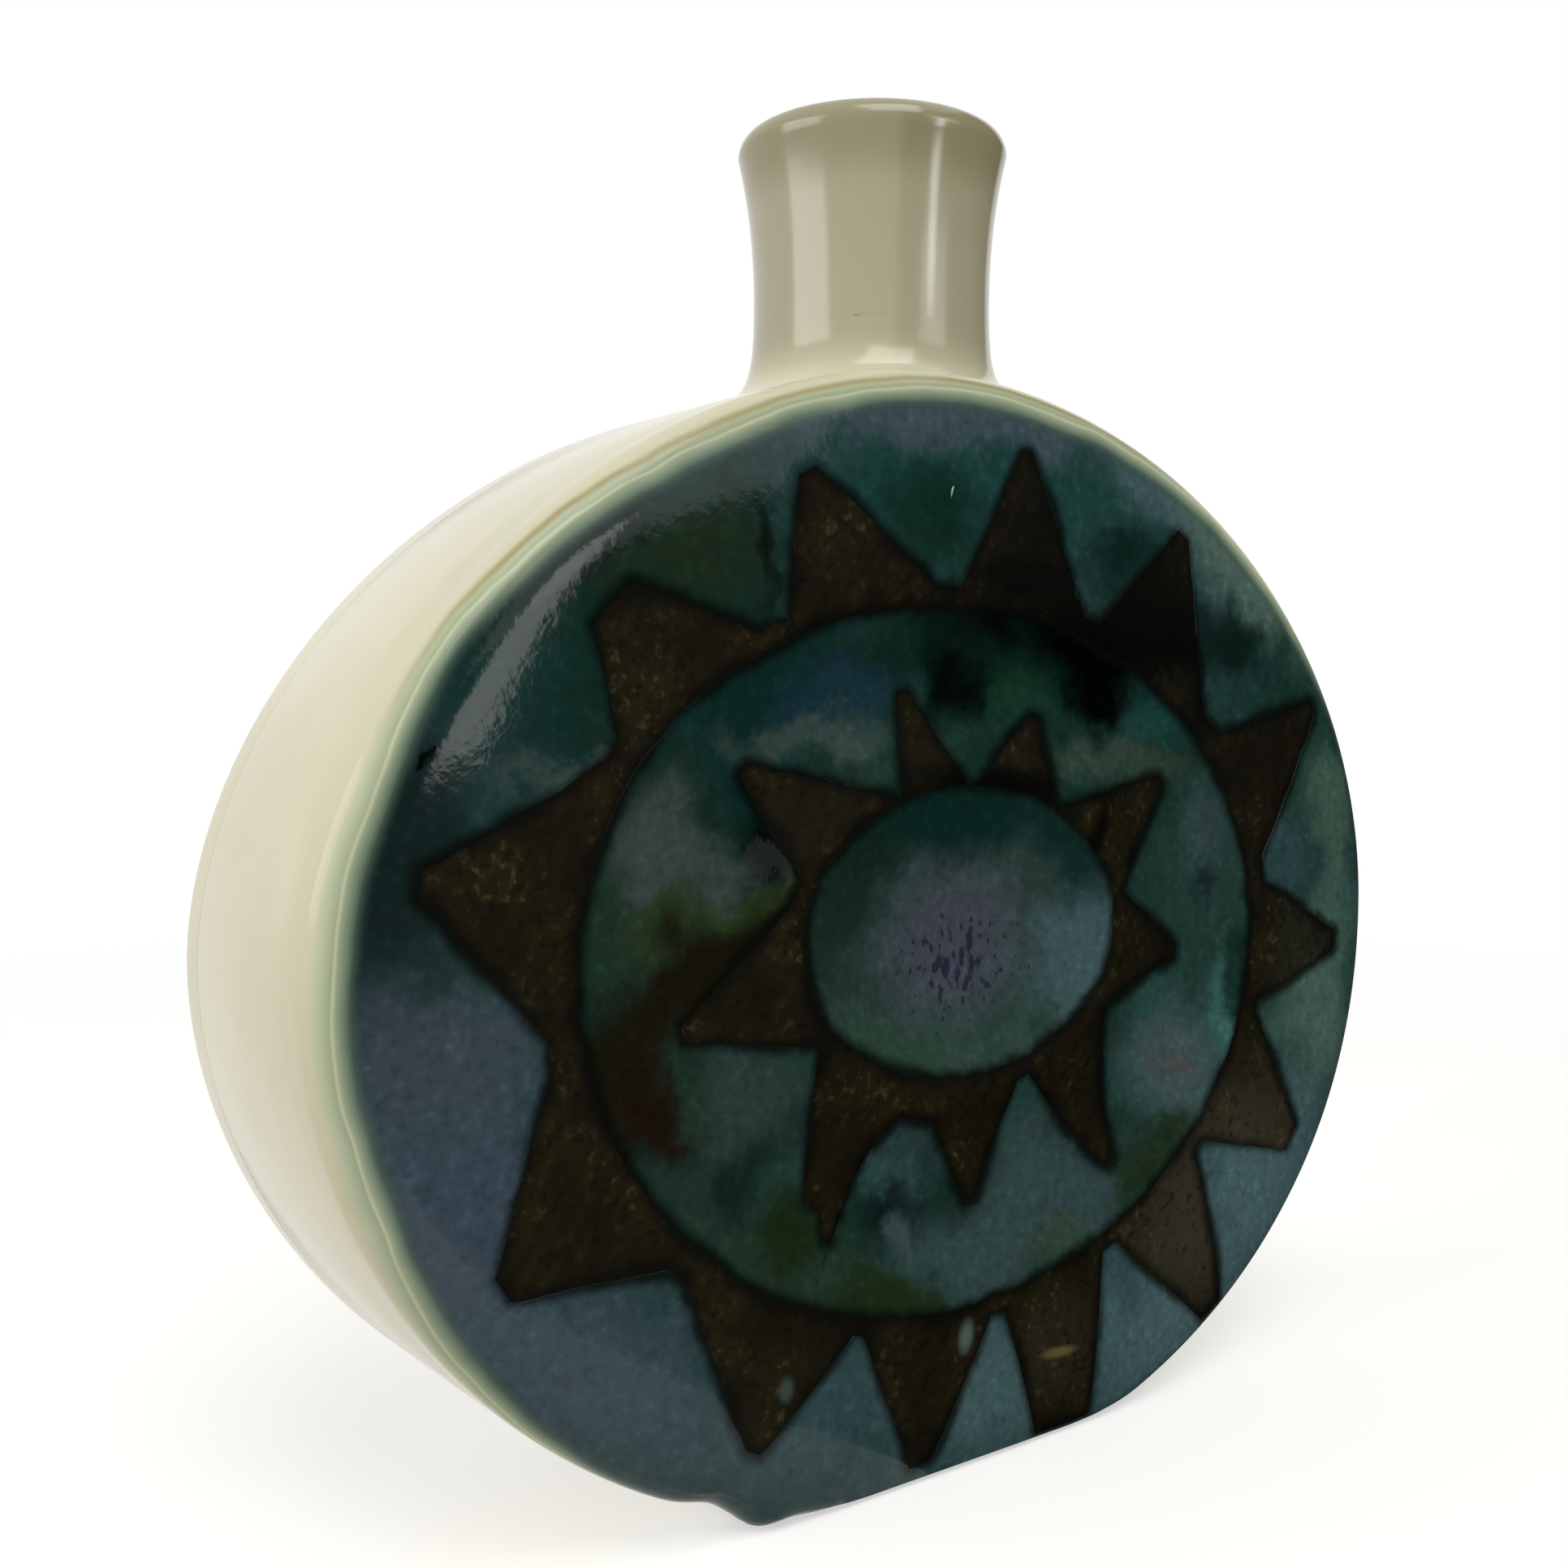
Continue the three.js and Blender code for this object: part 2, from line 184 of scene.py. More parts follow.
node(tree, "ShaderNodeOutputMaterial", {"Surface": shader})

# The hoop's path is the body outline; the tree sweeps a rounded slab section along it and
# bores the hole for the neck's spigot.
sweep = bpy.data.node_groups.new("slab_hoop", "GeometryNodeTree")
sweep.is_modifier = True
sweep.interface.new_socket("Geometry", in_out="INPUT", socket_type="NodeSocketGeometry")
hoop_crease = math.radians(40)
hoop_sizes = {"Slab Width": back_seam_y - front_seam_y - 2 * seam, "Slab Thickness": wall_thickness,
              "Corner Radius": 0.04, "Middle": (back_seam_y + front_seam_y) / 2,
              "Hole Radius": 7.6, "Hole Height": wall_top}
for name in hoop_sizes:
    sweep.interface.new_socket(name, in_out="INPUT", socket_type="NodeSocketFloat")
sweep.interface.new_socket("Material", in_out="INPUT", socket_type="NodeSocketMaterial")
sweep.interface.new_socket("Geometry", in_out="OUTPUT", socket_type="NodeSocketGeometry")
given = node(sweep, "NodeGroupInput").outputs
path = node(sweep, "GeometryNodeMeshToCurve", {"Mesh": given["Geometry"]})
path = node(sweep, "GeometryNodeSetCurveNormal", {"Curve": path, "Normal": (0, 1, 0)}, mode="FREE")
slab = node(sweep, "GeometryNodeCurvePrimitiveQuadrilateral", {
    "Width": given["Slab Width"], "Height": given["Slab Thickness"]}, mode="RECTANGLE")
slab = node(sweep, "GeometryNodeFilletCurve", {"Curve": slab, "Radius": given["Corner Radius"], "Count": 4},
            mode="POLY")
inward = node(sweep, "ShaderNodeMath", {0: given["Slab Thickness"], 1: -0.5}, operation="MULTIPLY")
shift = node(sweep, "ShaderNodeCombineXYZ", {"X": given["Middle"], "Y": inward})
slab = node(sweep, "GeometryNodeTransform", {"Geometry": slab, "Translation": shift})
hoop = node(sweep, "GeometryNodeCurveToMesh", {"Curve": path, "Profile Curve": slab})
drill = node(sweep, "GeometryNodeMeshCylinder", {
    "Vertices": 96, "Radius": given["Hole Radius"], "Depth": 4 * wall_thickness * MM})
lifted = node(sweep, "ShaderNodeCombineXYZ", {"Z": given["Hole Height"]})
drill = node(sweep, "GeometryNodeTransform", {"Geometry": drill, "Translation": lifted})
hoop = node(sweep, "GeometryNodeMeshBoolean", {0: hoop, 1: drill}, operation="DIFFERENCE", solver="EXACT")
hoop = node(sweep, "GeometryNodeSetShadeSmooth", {"Geometry": hoop})
hoop = node(sweep, "GeometryNodeRealizeInstances", {"Geometry": hoop})
hoop = node(sweep, "GeometryNodeSetMaterial", {"Geometry": hoop, "Material": given["Material"]})
node(sweep, "NodeGroupOutput", {"Geometry": hoop})

path_mesh = bpy.data.meshes.new("side_wall_path")
path_points = ring(outline(0.0), 0.0)[::3] * MM  # every third column is fine enough here
path_edges = [(i, (i + 1) % len(path_points)) for i in range(len(path_points))]
path_mesh.from_pydata(path_points, path_edges, [])
side_wall = bpy.data.objects.new("side_wall_visual", path_mesh)
bpy.context.scene.collection.objects.link(side_wall)
modifier = side_wall.modifiers.new("slab_hoop", "NODES")
modifier.node_group = sweep
for item in sweep.interface.items_tree:
    if item.name in hoop_sizes:
        modifier[item.identifier] = hoop_sizes[item.name] * MM
    if item.name == "Material":
        modifier[item.identifier] = cream_glaze
depsgraph = bpy.context.evaluated_depsgraph_get()
hoop_mesh = bpy.data.meshes.new_from_object(side_wall.evaluated_get(depsgraph), depsgraph=depsgraph)
side_wall.modifiers.clear()
side_wall.data = hoop_mesh
side_wall.data.set_sharp_from_angle(angle=hoop_crease)
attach(side_wall, "root")
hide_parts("side_wall")

# Back disc: a plain slab with a rounded edge, slightly crowned, luted to the back of the hoop
# and glazed with it. Its step drops inside the hoop. It faces away in the photograph.
back_y = packed_high.y / MM
back_crown = 0.8
back_radius = 2.0
back_slab = 5.6
slip_gap = 0.3
step_inset = wall_thickness + slip_gap
edge_lift = 0.35  # share of a rounded edge's inset by which it rises off the shelf
crease = math.radians(55)


def skin(name, rings, material, loop=False, **fields):
    """A closed piece through rings of points in millimetres; a ring of one point is a pole."""
    starts = np.cumsum([0] + [len(r) for r in rings])
    pairs = [(i, i + 1) for i in range(len(rings) - 1)]
    if loop:
        pairs.append((len(rings) - 1, 0))
    faces = []
    for a, b in pairs:
        count = max(len(rings[a]), len(rings[b]))
        for i in range(count):
            j = (i + 1) % count
            corners = [starts[a] + i % len(rings[a]), starts[a] + j % len(rings[a]),
                       starts[b] + j % len(rings[b]), starts[b] + i % len(rings[b])]
            faces.append(list(dict.fromkeys(corners)))
    points = np.concatenate(rings) * MM
    first, second, third = (points[[face[k] for face in faces]] for k in range(3))
    last = points[[face[-1] for face in faces]]
    volume = np.sum(first * (np.cross(second, third) + np.cross(third, last)))
    if volume < 0:
        faces = [face[::-1] for face in faces]
    mesh = bpy.data.meshes.new(name)
    mesh.from_pydata(points, [], faces)
    for field, values in fields.items():
        mesh.attributes.new(field, "FLOAT", "POINT").data.foreach_set("value", np.concatenate(values))
    mesh.shade_smooth()
    mesh.set_sharp_from_angle(angle=crease)
    mesh.materials.append(material)
    made = bpy.data.objects.new(name, mesh)
    bpy.context.scene.collection.objects.link(made)
    return made


def pole(y):
    """The one point in the middle of a disc, at that depth."""
    return np.array([[0.0, y, centre_z]])


back_rings = [pole(back_y - back_slab)]
for y in (back_y - back_slab, back_seam_y):
    back_rings.append(ring(outline(step_inset, step_inset), y))
back_rings.append(ring(outline(0.0), back_seam_y + seam))
for bend in np.linspace(0, 1, 9) * math.pi / 2:
    y = back_y - back_crown - back_radius * (1 - math.sin(bend))
    inset = back_radius * (1 - math.cos(bend))
    back_rings.append(ring(outline(inset, edge_lift * inset), y))
for share in (0.9, 0.75, 0.5, 0.25):
    back_rings.append(ring(outline(back_radius) * share, back_y - back_crown * share ** 2))
back_disc = skin("back_disc_visual", [*back_rings, pole(back_y)], cream_glaze)
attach(back_disc, "root")
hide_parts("back_disc")

# Front disc: the slab that carries the face, with a pressed dish in the middle and a ring groove
# round it, left bare where wax kept the glaze off. Dark brown stoneware, dry and a little gritty.
face_y = packed_low.y / MM
face_fall = 1.0  # how far the face drops towards its edge
fall_powers = (2.2, 14)  # a slow fall over the whole margin and a quick one at its end
edge_radius = 2.6
edge_start = math.radians(24)  # slope at which the rounded edge takes over from the face
glaze = 0.13  # thickness of the glass on the face
# Half width, half height and rise of the ovals: the dish's edge, the two edges of the groove,
# and the crest from which the margin falls.
relief_ovals = ((19.6, 14.0, 0.9), (21.4, 15.4, 0.6), (41.0, 32.5), (43.6, 35.0))
dish_depth = 2.4
groove_depth = 1.5
softening = (-0.02, -0.01, 0.0, 0.01, 0.02)  # shares over which the pressed edges are blunted
front_slab = 6.8


def oval(half_wide, half_high, rise=0.0):
    """Shares of each turn where an oval round the face's middle, raised by rise, is met."""
    a = (across / half_wide) ** 2 + (upward / half_high) ** 2
    b = upward * rise / half_high ** 2
    return (b + np.sqrt(b ** 2 - a * ((rise / half_high) ** 2 - 1))) / a


dish, ridge, groove, crest = (oval(*sizes) for sizes in relief_ovals)
edge_inset = edge_radius * (1 - math.sin(edge_start))
face_edge = outline(edge_inset, edge_lift * edge_inset)


def face_depth(share):
    """How far the glazed face lies behind its crests, at shares of each turn."""
    total = 0.0
    for shift in softening:
        s = np.abs(share + shift)
        hollow = dish_depth * np.clip(1 - (s / dish) ** 2, 0, 1)
        channel = groove_depth * np.sin(np.pi * np.clip((s - ridge) / (groove - ridge), 0, 1))
        margin = np.clip((s - crest) / (face_edge - crest), 0, 1)
        fall = face_fall * (margin ** fall_powers[0] + margin ** fall_powers[1]) / 2
        total = total + hollow + channel + fall
    return total / len(softening)


def face_ring(share, under=0.0):
    """A ring on the face, that far under the top of its glaze."""
    return ring(share, face_y + face_depth(share) + under)


def edge_ring(bend, under=0.0, floor=0.0):
    """A ring on the rounded edge, from 0 at the face to 1 at the wall."""
    slope = edge_start + (math.pi / 2 - edge_start) * bend
    inset = edge_radius - (edge_radius - under) * math.sin(slope)
    y = face_y + face_fall + under + (edge_radius - under) * (math.cos(edge_start) - math.cos(slope))
    return ring(outline(inset, max(floor, edge_lift * (inset - under))), y)


slow_waver, quick_waver = 7, 2.2  # lengths over which a drawing hand sways and trembles


def hand(share, size=0.35, seed=0.0):
    """The same boundary as a hand leaves it, a little wavering."""
    drawn = []
    for x, z, s in zip(across * share, upward * share, share):
        slow = noise.noise(Vector((x / slow_waver, seed, z / slow_waver)))
        quick = noise.noise(Vector((x / quick_waver, seed + 5, z / quick_waver)))
        drawn.append(s + (slow + 0.5 * quick) * size / mean_radius)
    return np.array(drawn)


def sunburst(valley, rays):
    """A boundary with straight-sided rays: start, tip and end in degrees, reach, half the tip's width."""
    reached = valley.copy()
    for start, tip, end, reach, blunt in rays:
        span = [math.radians(a) for a in (start, tip - blunt, tip + blunt, end)]
        far = [np.interp(span[0] % (2 * np.pi), turn, valley), reach, reach,
               np.interp(span[3] % (2 * np.pi), turn, valley)]
        corners = [np.array([r * math.sin(a), r * math.cos(a)]) for r, a in zip(far, span)]
        for i in range(3):
            side = corners[i + 1] - corners[i]
            within = (turn - span[i]) % (2 * np.pi) <= span[i + 1] - span[i]
            along = np.sin(turn) * side[1] - np.cos(turn) * side[0]
            cut = (corners[i][0] * side[1] - corners[i][1] * side[0]) / np.where(within, along, 1)
            reached = np.where(within, np.maximum(reached, cut), reached)
    return reached


def edge_distance(rings, *boundaries):
    """Distance in millimetres of each ring's points from the edges of a field."""
    edges = []
    for boundary in boundaries:
        points = ring(boundary, 0.0)
        for part in (0.0, 0.25, 0.5, 0.75):
            edges.extend(points * (1 - part) + np.roll(points, -1, axis=0) * part)
    nearest = KDTree(len(edges))
    for i, point in enumerate(edges):
        nearest.insert(point, i)
    nearest.balance()
    return [np.array([nearest.find((x, 0.0, z))[2] for x, y, z in points]) for points in rings]


# The wax lines: the middle oval, the two brown rings and the rays that stand on them. On the inner
# ring, the four entries from 185 degrees on make one hooked ray with a rounded arch beside it.
inner_rays = ((331, 345, 358.5, 0.455, 1.5), (2, 21, 37, 0.43, 1.5), (40, 58.7, 78, 0.535, 1.2),
              (80, 98, 114.5, 0.505, 1.5), (117, 144.5, 154, 0.57, 1.2), (159, 177, 199, 0.472, 1.5),
              (185, 199.5, 212, 0.325, 7.5), (203, 208.5, 213, 0.38, 1.0),
              (207.5, 208.8, 237, 0.553, 0.8), (208, 213.8, 241, 0.518, 2.0),
              (243, 258, 284, 0.52, 1.5), (291, 307.5, 331, 0.515, 1.5))
outer_rays = ((-2, 7.4, 22.5, 0.89, 0.8), (26, 32.5, 53, 0.90, 1.0), (57.5, 63.5, 81, 0.95, 1.0),
              (85, 95, 105, 0.925, 1.2), (107, 121.5, 129.5, 0.94, 1.8), (131.5, 144, 151.5, 1.02, 1.5),
              (154.5, 167, 173.5, 1.02, 3.0), (176, 185.5, 197.5, 0.93, 1.3), (199, 206.5, 227, 0.903, 1.0),
              (229, 240.5, 260, 0.905, 1.5), (263, 280, 297, 0.91, 1.2), (300, 312, 323, 0.85, 3.0),
              (328, 338.5, 353.5, 0.86, 1.2))
pool_edge = hand(oval(19.6, 13.5, rise=0.9), size=0.3)
ring_inner = hand(sunburst(oval(21.8, 14.4), inner_rays), seed=2.0)
drawn_wide = 0.032 * bump(297, 32)  # the brown ring strays outwards at the left
ring_outer = hand(oval(40.9, 32.6, rise=-1.65) + drawn_wide, seed=4.0)
margin_inner = hand(sunburst(oval(43.8, 34.2, rise=-1.6) + drawn_wide, outer_rays), size=0.4, seed=6.0)
least_margin = 0.006  # share that stays glazed beyond the longest rays
margin_inner = np.minimum(margin_inner, face_edge - least_margin)
wax_lines = (pool_edge, ring_inner, ring_outer, margin_inner)
far_off = 9.0  # millimetres, where no edge of a glaze is near
spot_edge, spot_core = 1.3, 0.3  # in half sizes: where a spot starts and where it is strongest


def painted(tree, colour, place, spots):
    """Soft spots of another colour: name, middle x and z, half sizes, tilt in degrees, hex, strength."""
    for name, x, z, wide, high, tilt, code, strength in spots:
        spot = node(tree, "ShaderNodeMapping", {
            "Vector": place, "Location": (x * MM, 0, z * MM), "Rotation": (0, math.radians(tilt), 0),
            "Scale": (wide * MM, 1.0, high * MM)}, vector_type="TEXTURE", label=name)
        away = node(tree, "ShaderNodeVectorMath", {0: spot}, operation="LENGTH").outputs["Value"]
        near = node(tree, "ShaderNodeMapRange", {
            "Value": away, "From Min": spot_edge, "From Max": spot_core, "To Max": strength},
            interpolation_type="SMOOTHSTEP")
        colour = node(tree, "ShaderNodeMix", {"Factor": near, "A": colour, "B": linear(code)},
                      data_type="RGBA")
    return colour


# Bare stoneware: dark brown and matt, blotched and streaky, with ochre grit and black pits. It is
# black along the glaze's edges and darker towards the top right. Painted shade blackens it at the
# top of the groove, painted shadow under the dish's top edge, and painted sheen makes it lighter
# and greyer at the lower right.
brown_clay, tree = new_material("brown_stoneware")
place = node(tree, "ShaderNodeTexCoord").outputs["Object"]
stain = node(tree, "ShaderNodeTexNoise", {"Vector": place, "Scale": 1 / (7 * MM), "Detail": 5.0})
slanted = node(tree, "ShaderNodeMapping", {
    "Vector": place, "Rotation": (0, math.radians(-52), 0), "Scale": (2.4, 1.0, 0.9)}, vector_type="TEXTURE")
brush = node(tree, "ShaderNodeTexNoise", {"Vector": slanted, "Scale": 1 / (1.1 * MM), "Detail": 5.0})
streaky = node(tree, "ShaderNodeMix", {"Factor": 0.4, "A": stain, "B": brush}, data_type="FLOAT")
colour = node(tree, "ShaderNodeValToRGB", {"Fac": streaky}, stops=(
    (0.36, "#141106"), (0.5, "#1b1808"), (0.66, "#27220e")))
# Painted sheen: lighter, greyer clay at the lower right and by the foot.
colour = painted(tree, colour, place, (
    ("painted sheen, lower right", 37, 20.5, 18, 11, -35, "#3a3729", 0.9),
    ("painted sheen, right", 50, 44, 6, 8, 0, "#2a2b20", 0.8),
    ("painted sheen, foot", 12, 9, 8, 6, 0, "#2a271a", 0.8)))
grit = node(tree, "ShaderNodeTexNoise", {"Vector": place, "Scale": 1 / (0.8 * MM), "Detail": 3.0})
fleck = node(tree, "ShaderNodeMapRange", {"Value": grit, "From Min": 0.57, "From Max": 0.72, "To Max": 0.42})
patch = node(tree, "ShaderNodeMapRange", {"Value": stain, "From Min": 0.45, "From Max": 0.62})
fleck = node(tree, "ShaderNodeMath", {0: fleck, 1: patch}, operation="MULTIPLY")
colour = node(tree, "ShaderNodeMix", {"Factor": fleck, "A": colour, "B": linear("#5f5437")}, data_type="RGBA")
pits = node(tree, "ShaderNodeMapRange", {"Value": grit, "From Min": 0.44, "From Max": 0.3, "To Max": 0.6})
colour = node(tree, "ShaderNodeMix", {"Factor": pits, "A": colour, "B": linear("#070604")}, data_type="RGBA")
rim = node(tree, "ShaderNodeAttribute", attribute_name="edge_mm").outputs["Fac"]
ragged = node(tree, "ShaderNodeMath", {0: stain, 1: 2.5, 2: rim}, operation="MULTIPLY_ADD")
glaze_edge_black = node(tree, "ShaderNodeMapRange", {"Value": ragged, "From Min": 2.7, "From Max": 1.2, "To Max": 0.8},
             interpolation_type="SMOOTHSTEP")
colour = node(tree, "ShaderNodeMix", {"Factor": glaze_edge_black, "A": colour, "B": linear("#080705")}, data_type="RGBA")
axes = node(tree, "ShaderNodeSeparateXYZ", {"Vector": place}).outputs
upper_right = node(tree, "ShaderNodeMath", {0: axes["X"], 1: 0.8, 2: axes["Z"]}, operation="MULTIPLY_ADD")
darker_top_right = node(tree, "ShaderNodeMapRange", {
    "Value": upper_right, "From Min": (centre_z + 13) * MM, "From Max": (centre_z + 41) * MM, "To Max": 0.35})
colour = node(tree, "ShaderNodeMix", {"Factor": darker_top_right, "A": colour, "B": linear("#0a0906")},
              data_type="RGBA")
colour = painted(tree, colour, place, (
    # Painted shade: black over the clay at the top of the groove, to the upper right.
    ("painted shade on the clay, upper right", 22.5, 79.2, 18, 5.2, 4, "#010101", 1.0),
    ("painted shade on the clay, right end", 35, 74, 3.5, 8, 35, "#040403", 0.9),
    # Painted shadow under the dish's top edge.
    ("painted shadow over the pool", 5, 64.6, 15, 1.9, 6, "#020201", 0.95),
    ("painted shadow right of the pool", 16.7, 58.7, 1.4, 6, 38, "#020201", 0.95),
    # Painted shade at the top of the brown ring.
    ("painted shade on the clay, brown ring top", 7, 84, 10, 2.6, 0, "#030302", 0.85),
    ("darker, top right", 20, 86, 19, 7.5, 18, "#060603", 0.75),
    ("glaze drop", -0.2, 12.9, 1.0, 1.7, 12, "#5c6d66", 0.75),
    ("glaze drop, left", -21.2, 12.8, 0.9, 1.2, 0, "#4a5b55", 0.6),
    ("glaze drop, top", 14.4, 83, 0.9, 0.9, 0, "#1b4134", 0.9),
    ("ochre streak", 12.3, 8.6, 2.6, 0.6, 4, "#6d5f36", 0.8)))
tooth = node(tree, "ShaderNodeBump", {"Height": grit, "Strength": 0.5, "Distance": 0.2 * MM})
shader = node(tree, "ShaderNodeBsdfPrincipled", {
    "Base Color": colour, "Roughness": 0.6, "Specular IOR Level": 0.05, "Normal": tooth})
node(tree, "ShaderNodeOutputMaterial", {"Surface": shader})

clay_rings = [pole(face_y + dish_depth + glaze)]
for step in np.linspace(0, 1, 101)[1:]:
    clay_rings.append(face_ring(face_edge * step, glaze))
clay_distance = [np.array([far_off]), *edge_distance(clay_rings[1:], *wax_lines)]
for bend in np.linspace(0, 1, 9)[1:]:
    clay_rings.append(edge_ring(bend, glaze))
clay_rings.append(ring(outline(glaze), front_seam_y))
for y in (front_seam_y, face_y + front_slab):
    clay_rings.append(ring(outline(step_inset, step_inset), y))
clay_rings.append(pole(face_y + front_slab))
clay_distance += [np.full(len(points), far_off) for points in clay_rings[len(clay_distance):]]
front_disc = skin("front_disc_visual", clay_rings, brown_clay, edge_mm=clay_distance)
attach(front_disc, "root")
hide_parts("front_disc")

# Neck: thrown on the wheel as an hourglass collar with a rounded lip, cut to a saddle that
# sits on the hoop, with a spigot through the hole. Same cream glaze, darkened up the neck and
# round the lip by painted shade.
neck_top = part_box("neck")[1].z / MM
lip_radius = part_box("neck")[1].x / MM
lip_rise = 2.0
lip_width = 3.8
waist_radius = 11.6
foot_radius = 11.9
bore_radius = 5.5
spigot_wall = 1.8
spigot_radius = bore_radius + spigot_wall
mouth_depth = 12.0
neck_columns = 120
compass = np.arange(neck_columns) * 2 * np.pi / neck_columns
lip_level = neck_top - lip_rise


def body_height(x, y):
    """Height of the body's top surface over a point."""
    power = np.where(x > 0, crown_powers[1], crown_powers[0])
    crown = wall_top - centre_z
    height = centre_z + crown * (1 - np.abs(x / half_width) ** power) ** (1 / power)
    over = np.clip(face_y + face_fall + edge_radius - y, 0, edge_radius)
    return height - edge_radius + np.sqrt(edge_radius ** 2 - over ** 2)


def neck_radius(height):
    """Radius of the hourglass at a share of the way from the wall to the lip."""
    bulge = (4 * waist_radius - (foot_radius + lip_radius) / 2) / 3
    ends = foot_radius * (1 - height) ** 3 + lip_radius * height ** 3
    return ends + 3 * bulge * height * (1 - height)


def turned(radius, height):
    """A ring about the neck's axis."""
    return np.stack([radius * np.sin(compass), -radius * np.cos(compass),
                     np.broadcast_to(height, neck_columns)], axis=1)


saddle = body_height(foot_radius * np.sin(compass), -foot_radius * np.cos(compass)) + seam
neck_rings = [turned(bore_radius, wall_top - wall_thickness),
              turned(spigot_radius, wall_top - wall_thickness),
              turned(spigot_radius, wall_top - wall_thickness / 2),
              turned(foot_radius, saddle)]
for height in np.linspace(0, 1, 33)[2:]:
    level = wall_top + (lip_level - wall_top) * height
    neck_rings.append(turned(neck_radius(height), level))
for bend in np.linspace(0, 1, 25)[1:]:
    radius = lip_radius - lip_width / 2 + lip_width / 2 * math.cos(bend * math.pi)
    neck_rings.append(turned(radius, lip_level + lip_rise * math.sin(bend * math.pi)))
for step in np.linspace(0, 1, 13)[1:]:
    narrowing = (lip_radius - lip_width - bore_radius) * (1 - step) ** 2
    neck_rings.append(turned(bore_radius + narrowing, lip_level - mouth_depth * step))
neck = skin("neck_visual", neck_rings, cream_glaze, loop=True)
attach(neck, "root")
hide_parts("neck")

# Neck coil: a thin roll of clay pressed into the joint and smeared into a hollow fillet, under
# the same glaze, which has pooled thicker in it. It reaches out over the hoop to both sides.
coil_height = 5.0
coil_reach = 1.3 + 1.9 * np.sin(compass) ** 2  # least to front and back, most to the sides
off_neck, off_wall = 0.03, 0.02  # hairlines that keep the coil clear of what it joins
coil_rings = []
for step in np.linspace(0, 1, 15):
    reach = coil_reach * (1 - step) ** 2
    height = step ** 2
    neck_at = neck_radius(height * coil_height / (lip_level - wall_top))
    radius = neck_at + reach + off_neck
    x, y = radius * np.sin(compass), -radius * np.cos(compass)
    foot = body_height(x, y) + off_wall
    coil_rings.append(np.stack([x, y, foot + (wall_top + coil_height - foot) * height], axis=1))
coil_rings.append(turned(foot_radius + off_wall, saddle))
neck_coil = skin("neck_coil_visual", coil_rings, cream_glaze, loop=True)
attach(neck_coil, "root")
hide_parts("neck_coil")

# Pool glaze: an oval of glass that melted into the dish in the middle of the face, milky
# lavender where it is deepest. Painted shade makes it dark green on the dish's upper wall, and
# painted light makes it paler on its lower and right wall.
meniscus = 1.6  # width of the rounded edge of the glass
edge_share = 0.12  # of the thickness, left at the very edge
wave_length = 11
waviness = 0.2  # share of the thickness that the waves take up
seat = 0.02  # hairline between the clay and the underside of the glass


def swell(distance):
    """Share of the glaze's thickness, rounded off towards its edge."""
    inside = np.clip(distance / meniscus, 0, 1)
    return edge_share + (1 - edge_share) * np.sqrt(1 - (1 - inside) ** 2)


def waves(points):
    """Low hand-dipped unevenness of the glaze's surface, from 0 to 1."""
    places = [Vector((x / wave_length, 3.0, z / wave_length)) for x, y, z in points]
    return np.array([0.5 + 0.5 * noise.noise(place) for place in places])


def glaze_top(points, distance):
    """Points of the glaze's surface over a ring of the clay."""
    uneven = 1 - waviness + waviness * waves(points)
    lift = seat + (glaze - seat) * swell(distance) * uneven
    return points - lift[:, None] * np.array([0.0, 1.0, 0.0])


def glaze_under(points):
    """Points of the glaze's underside over a ring of the clay. It takes fewer rings than the top."""
    return points - (0, seat, 0)


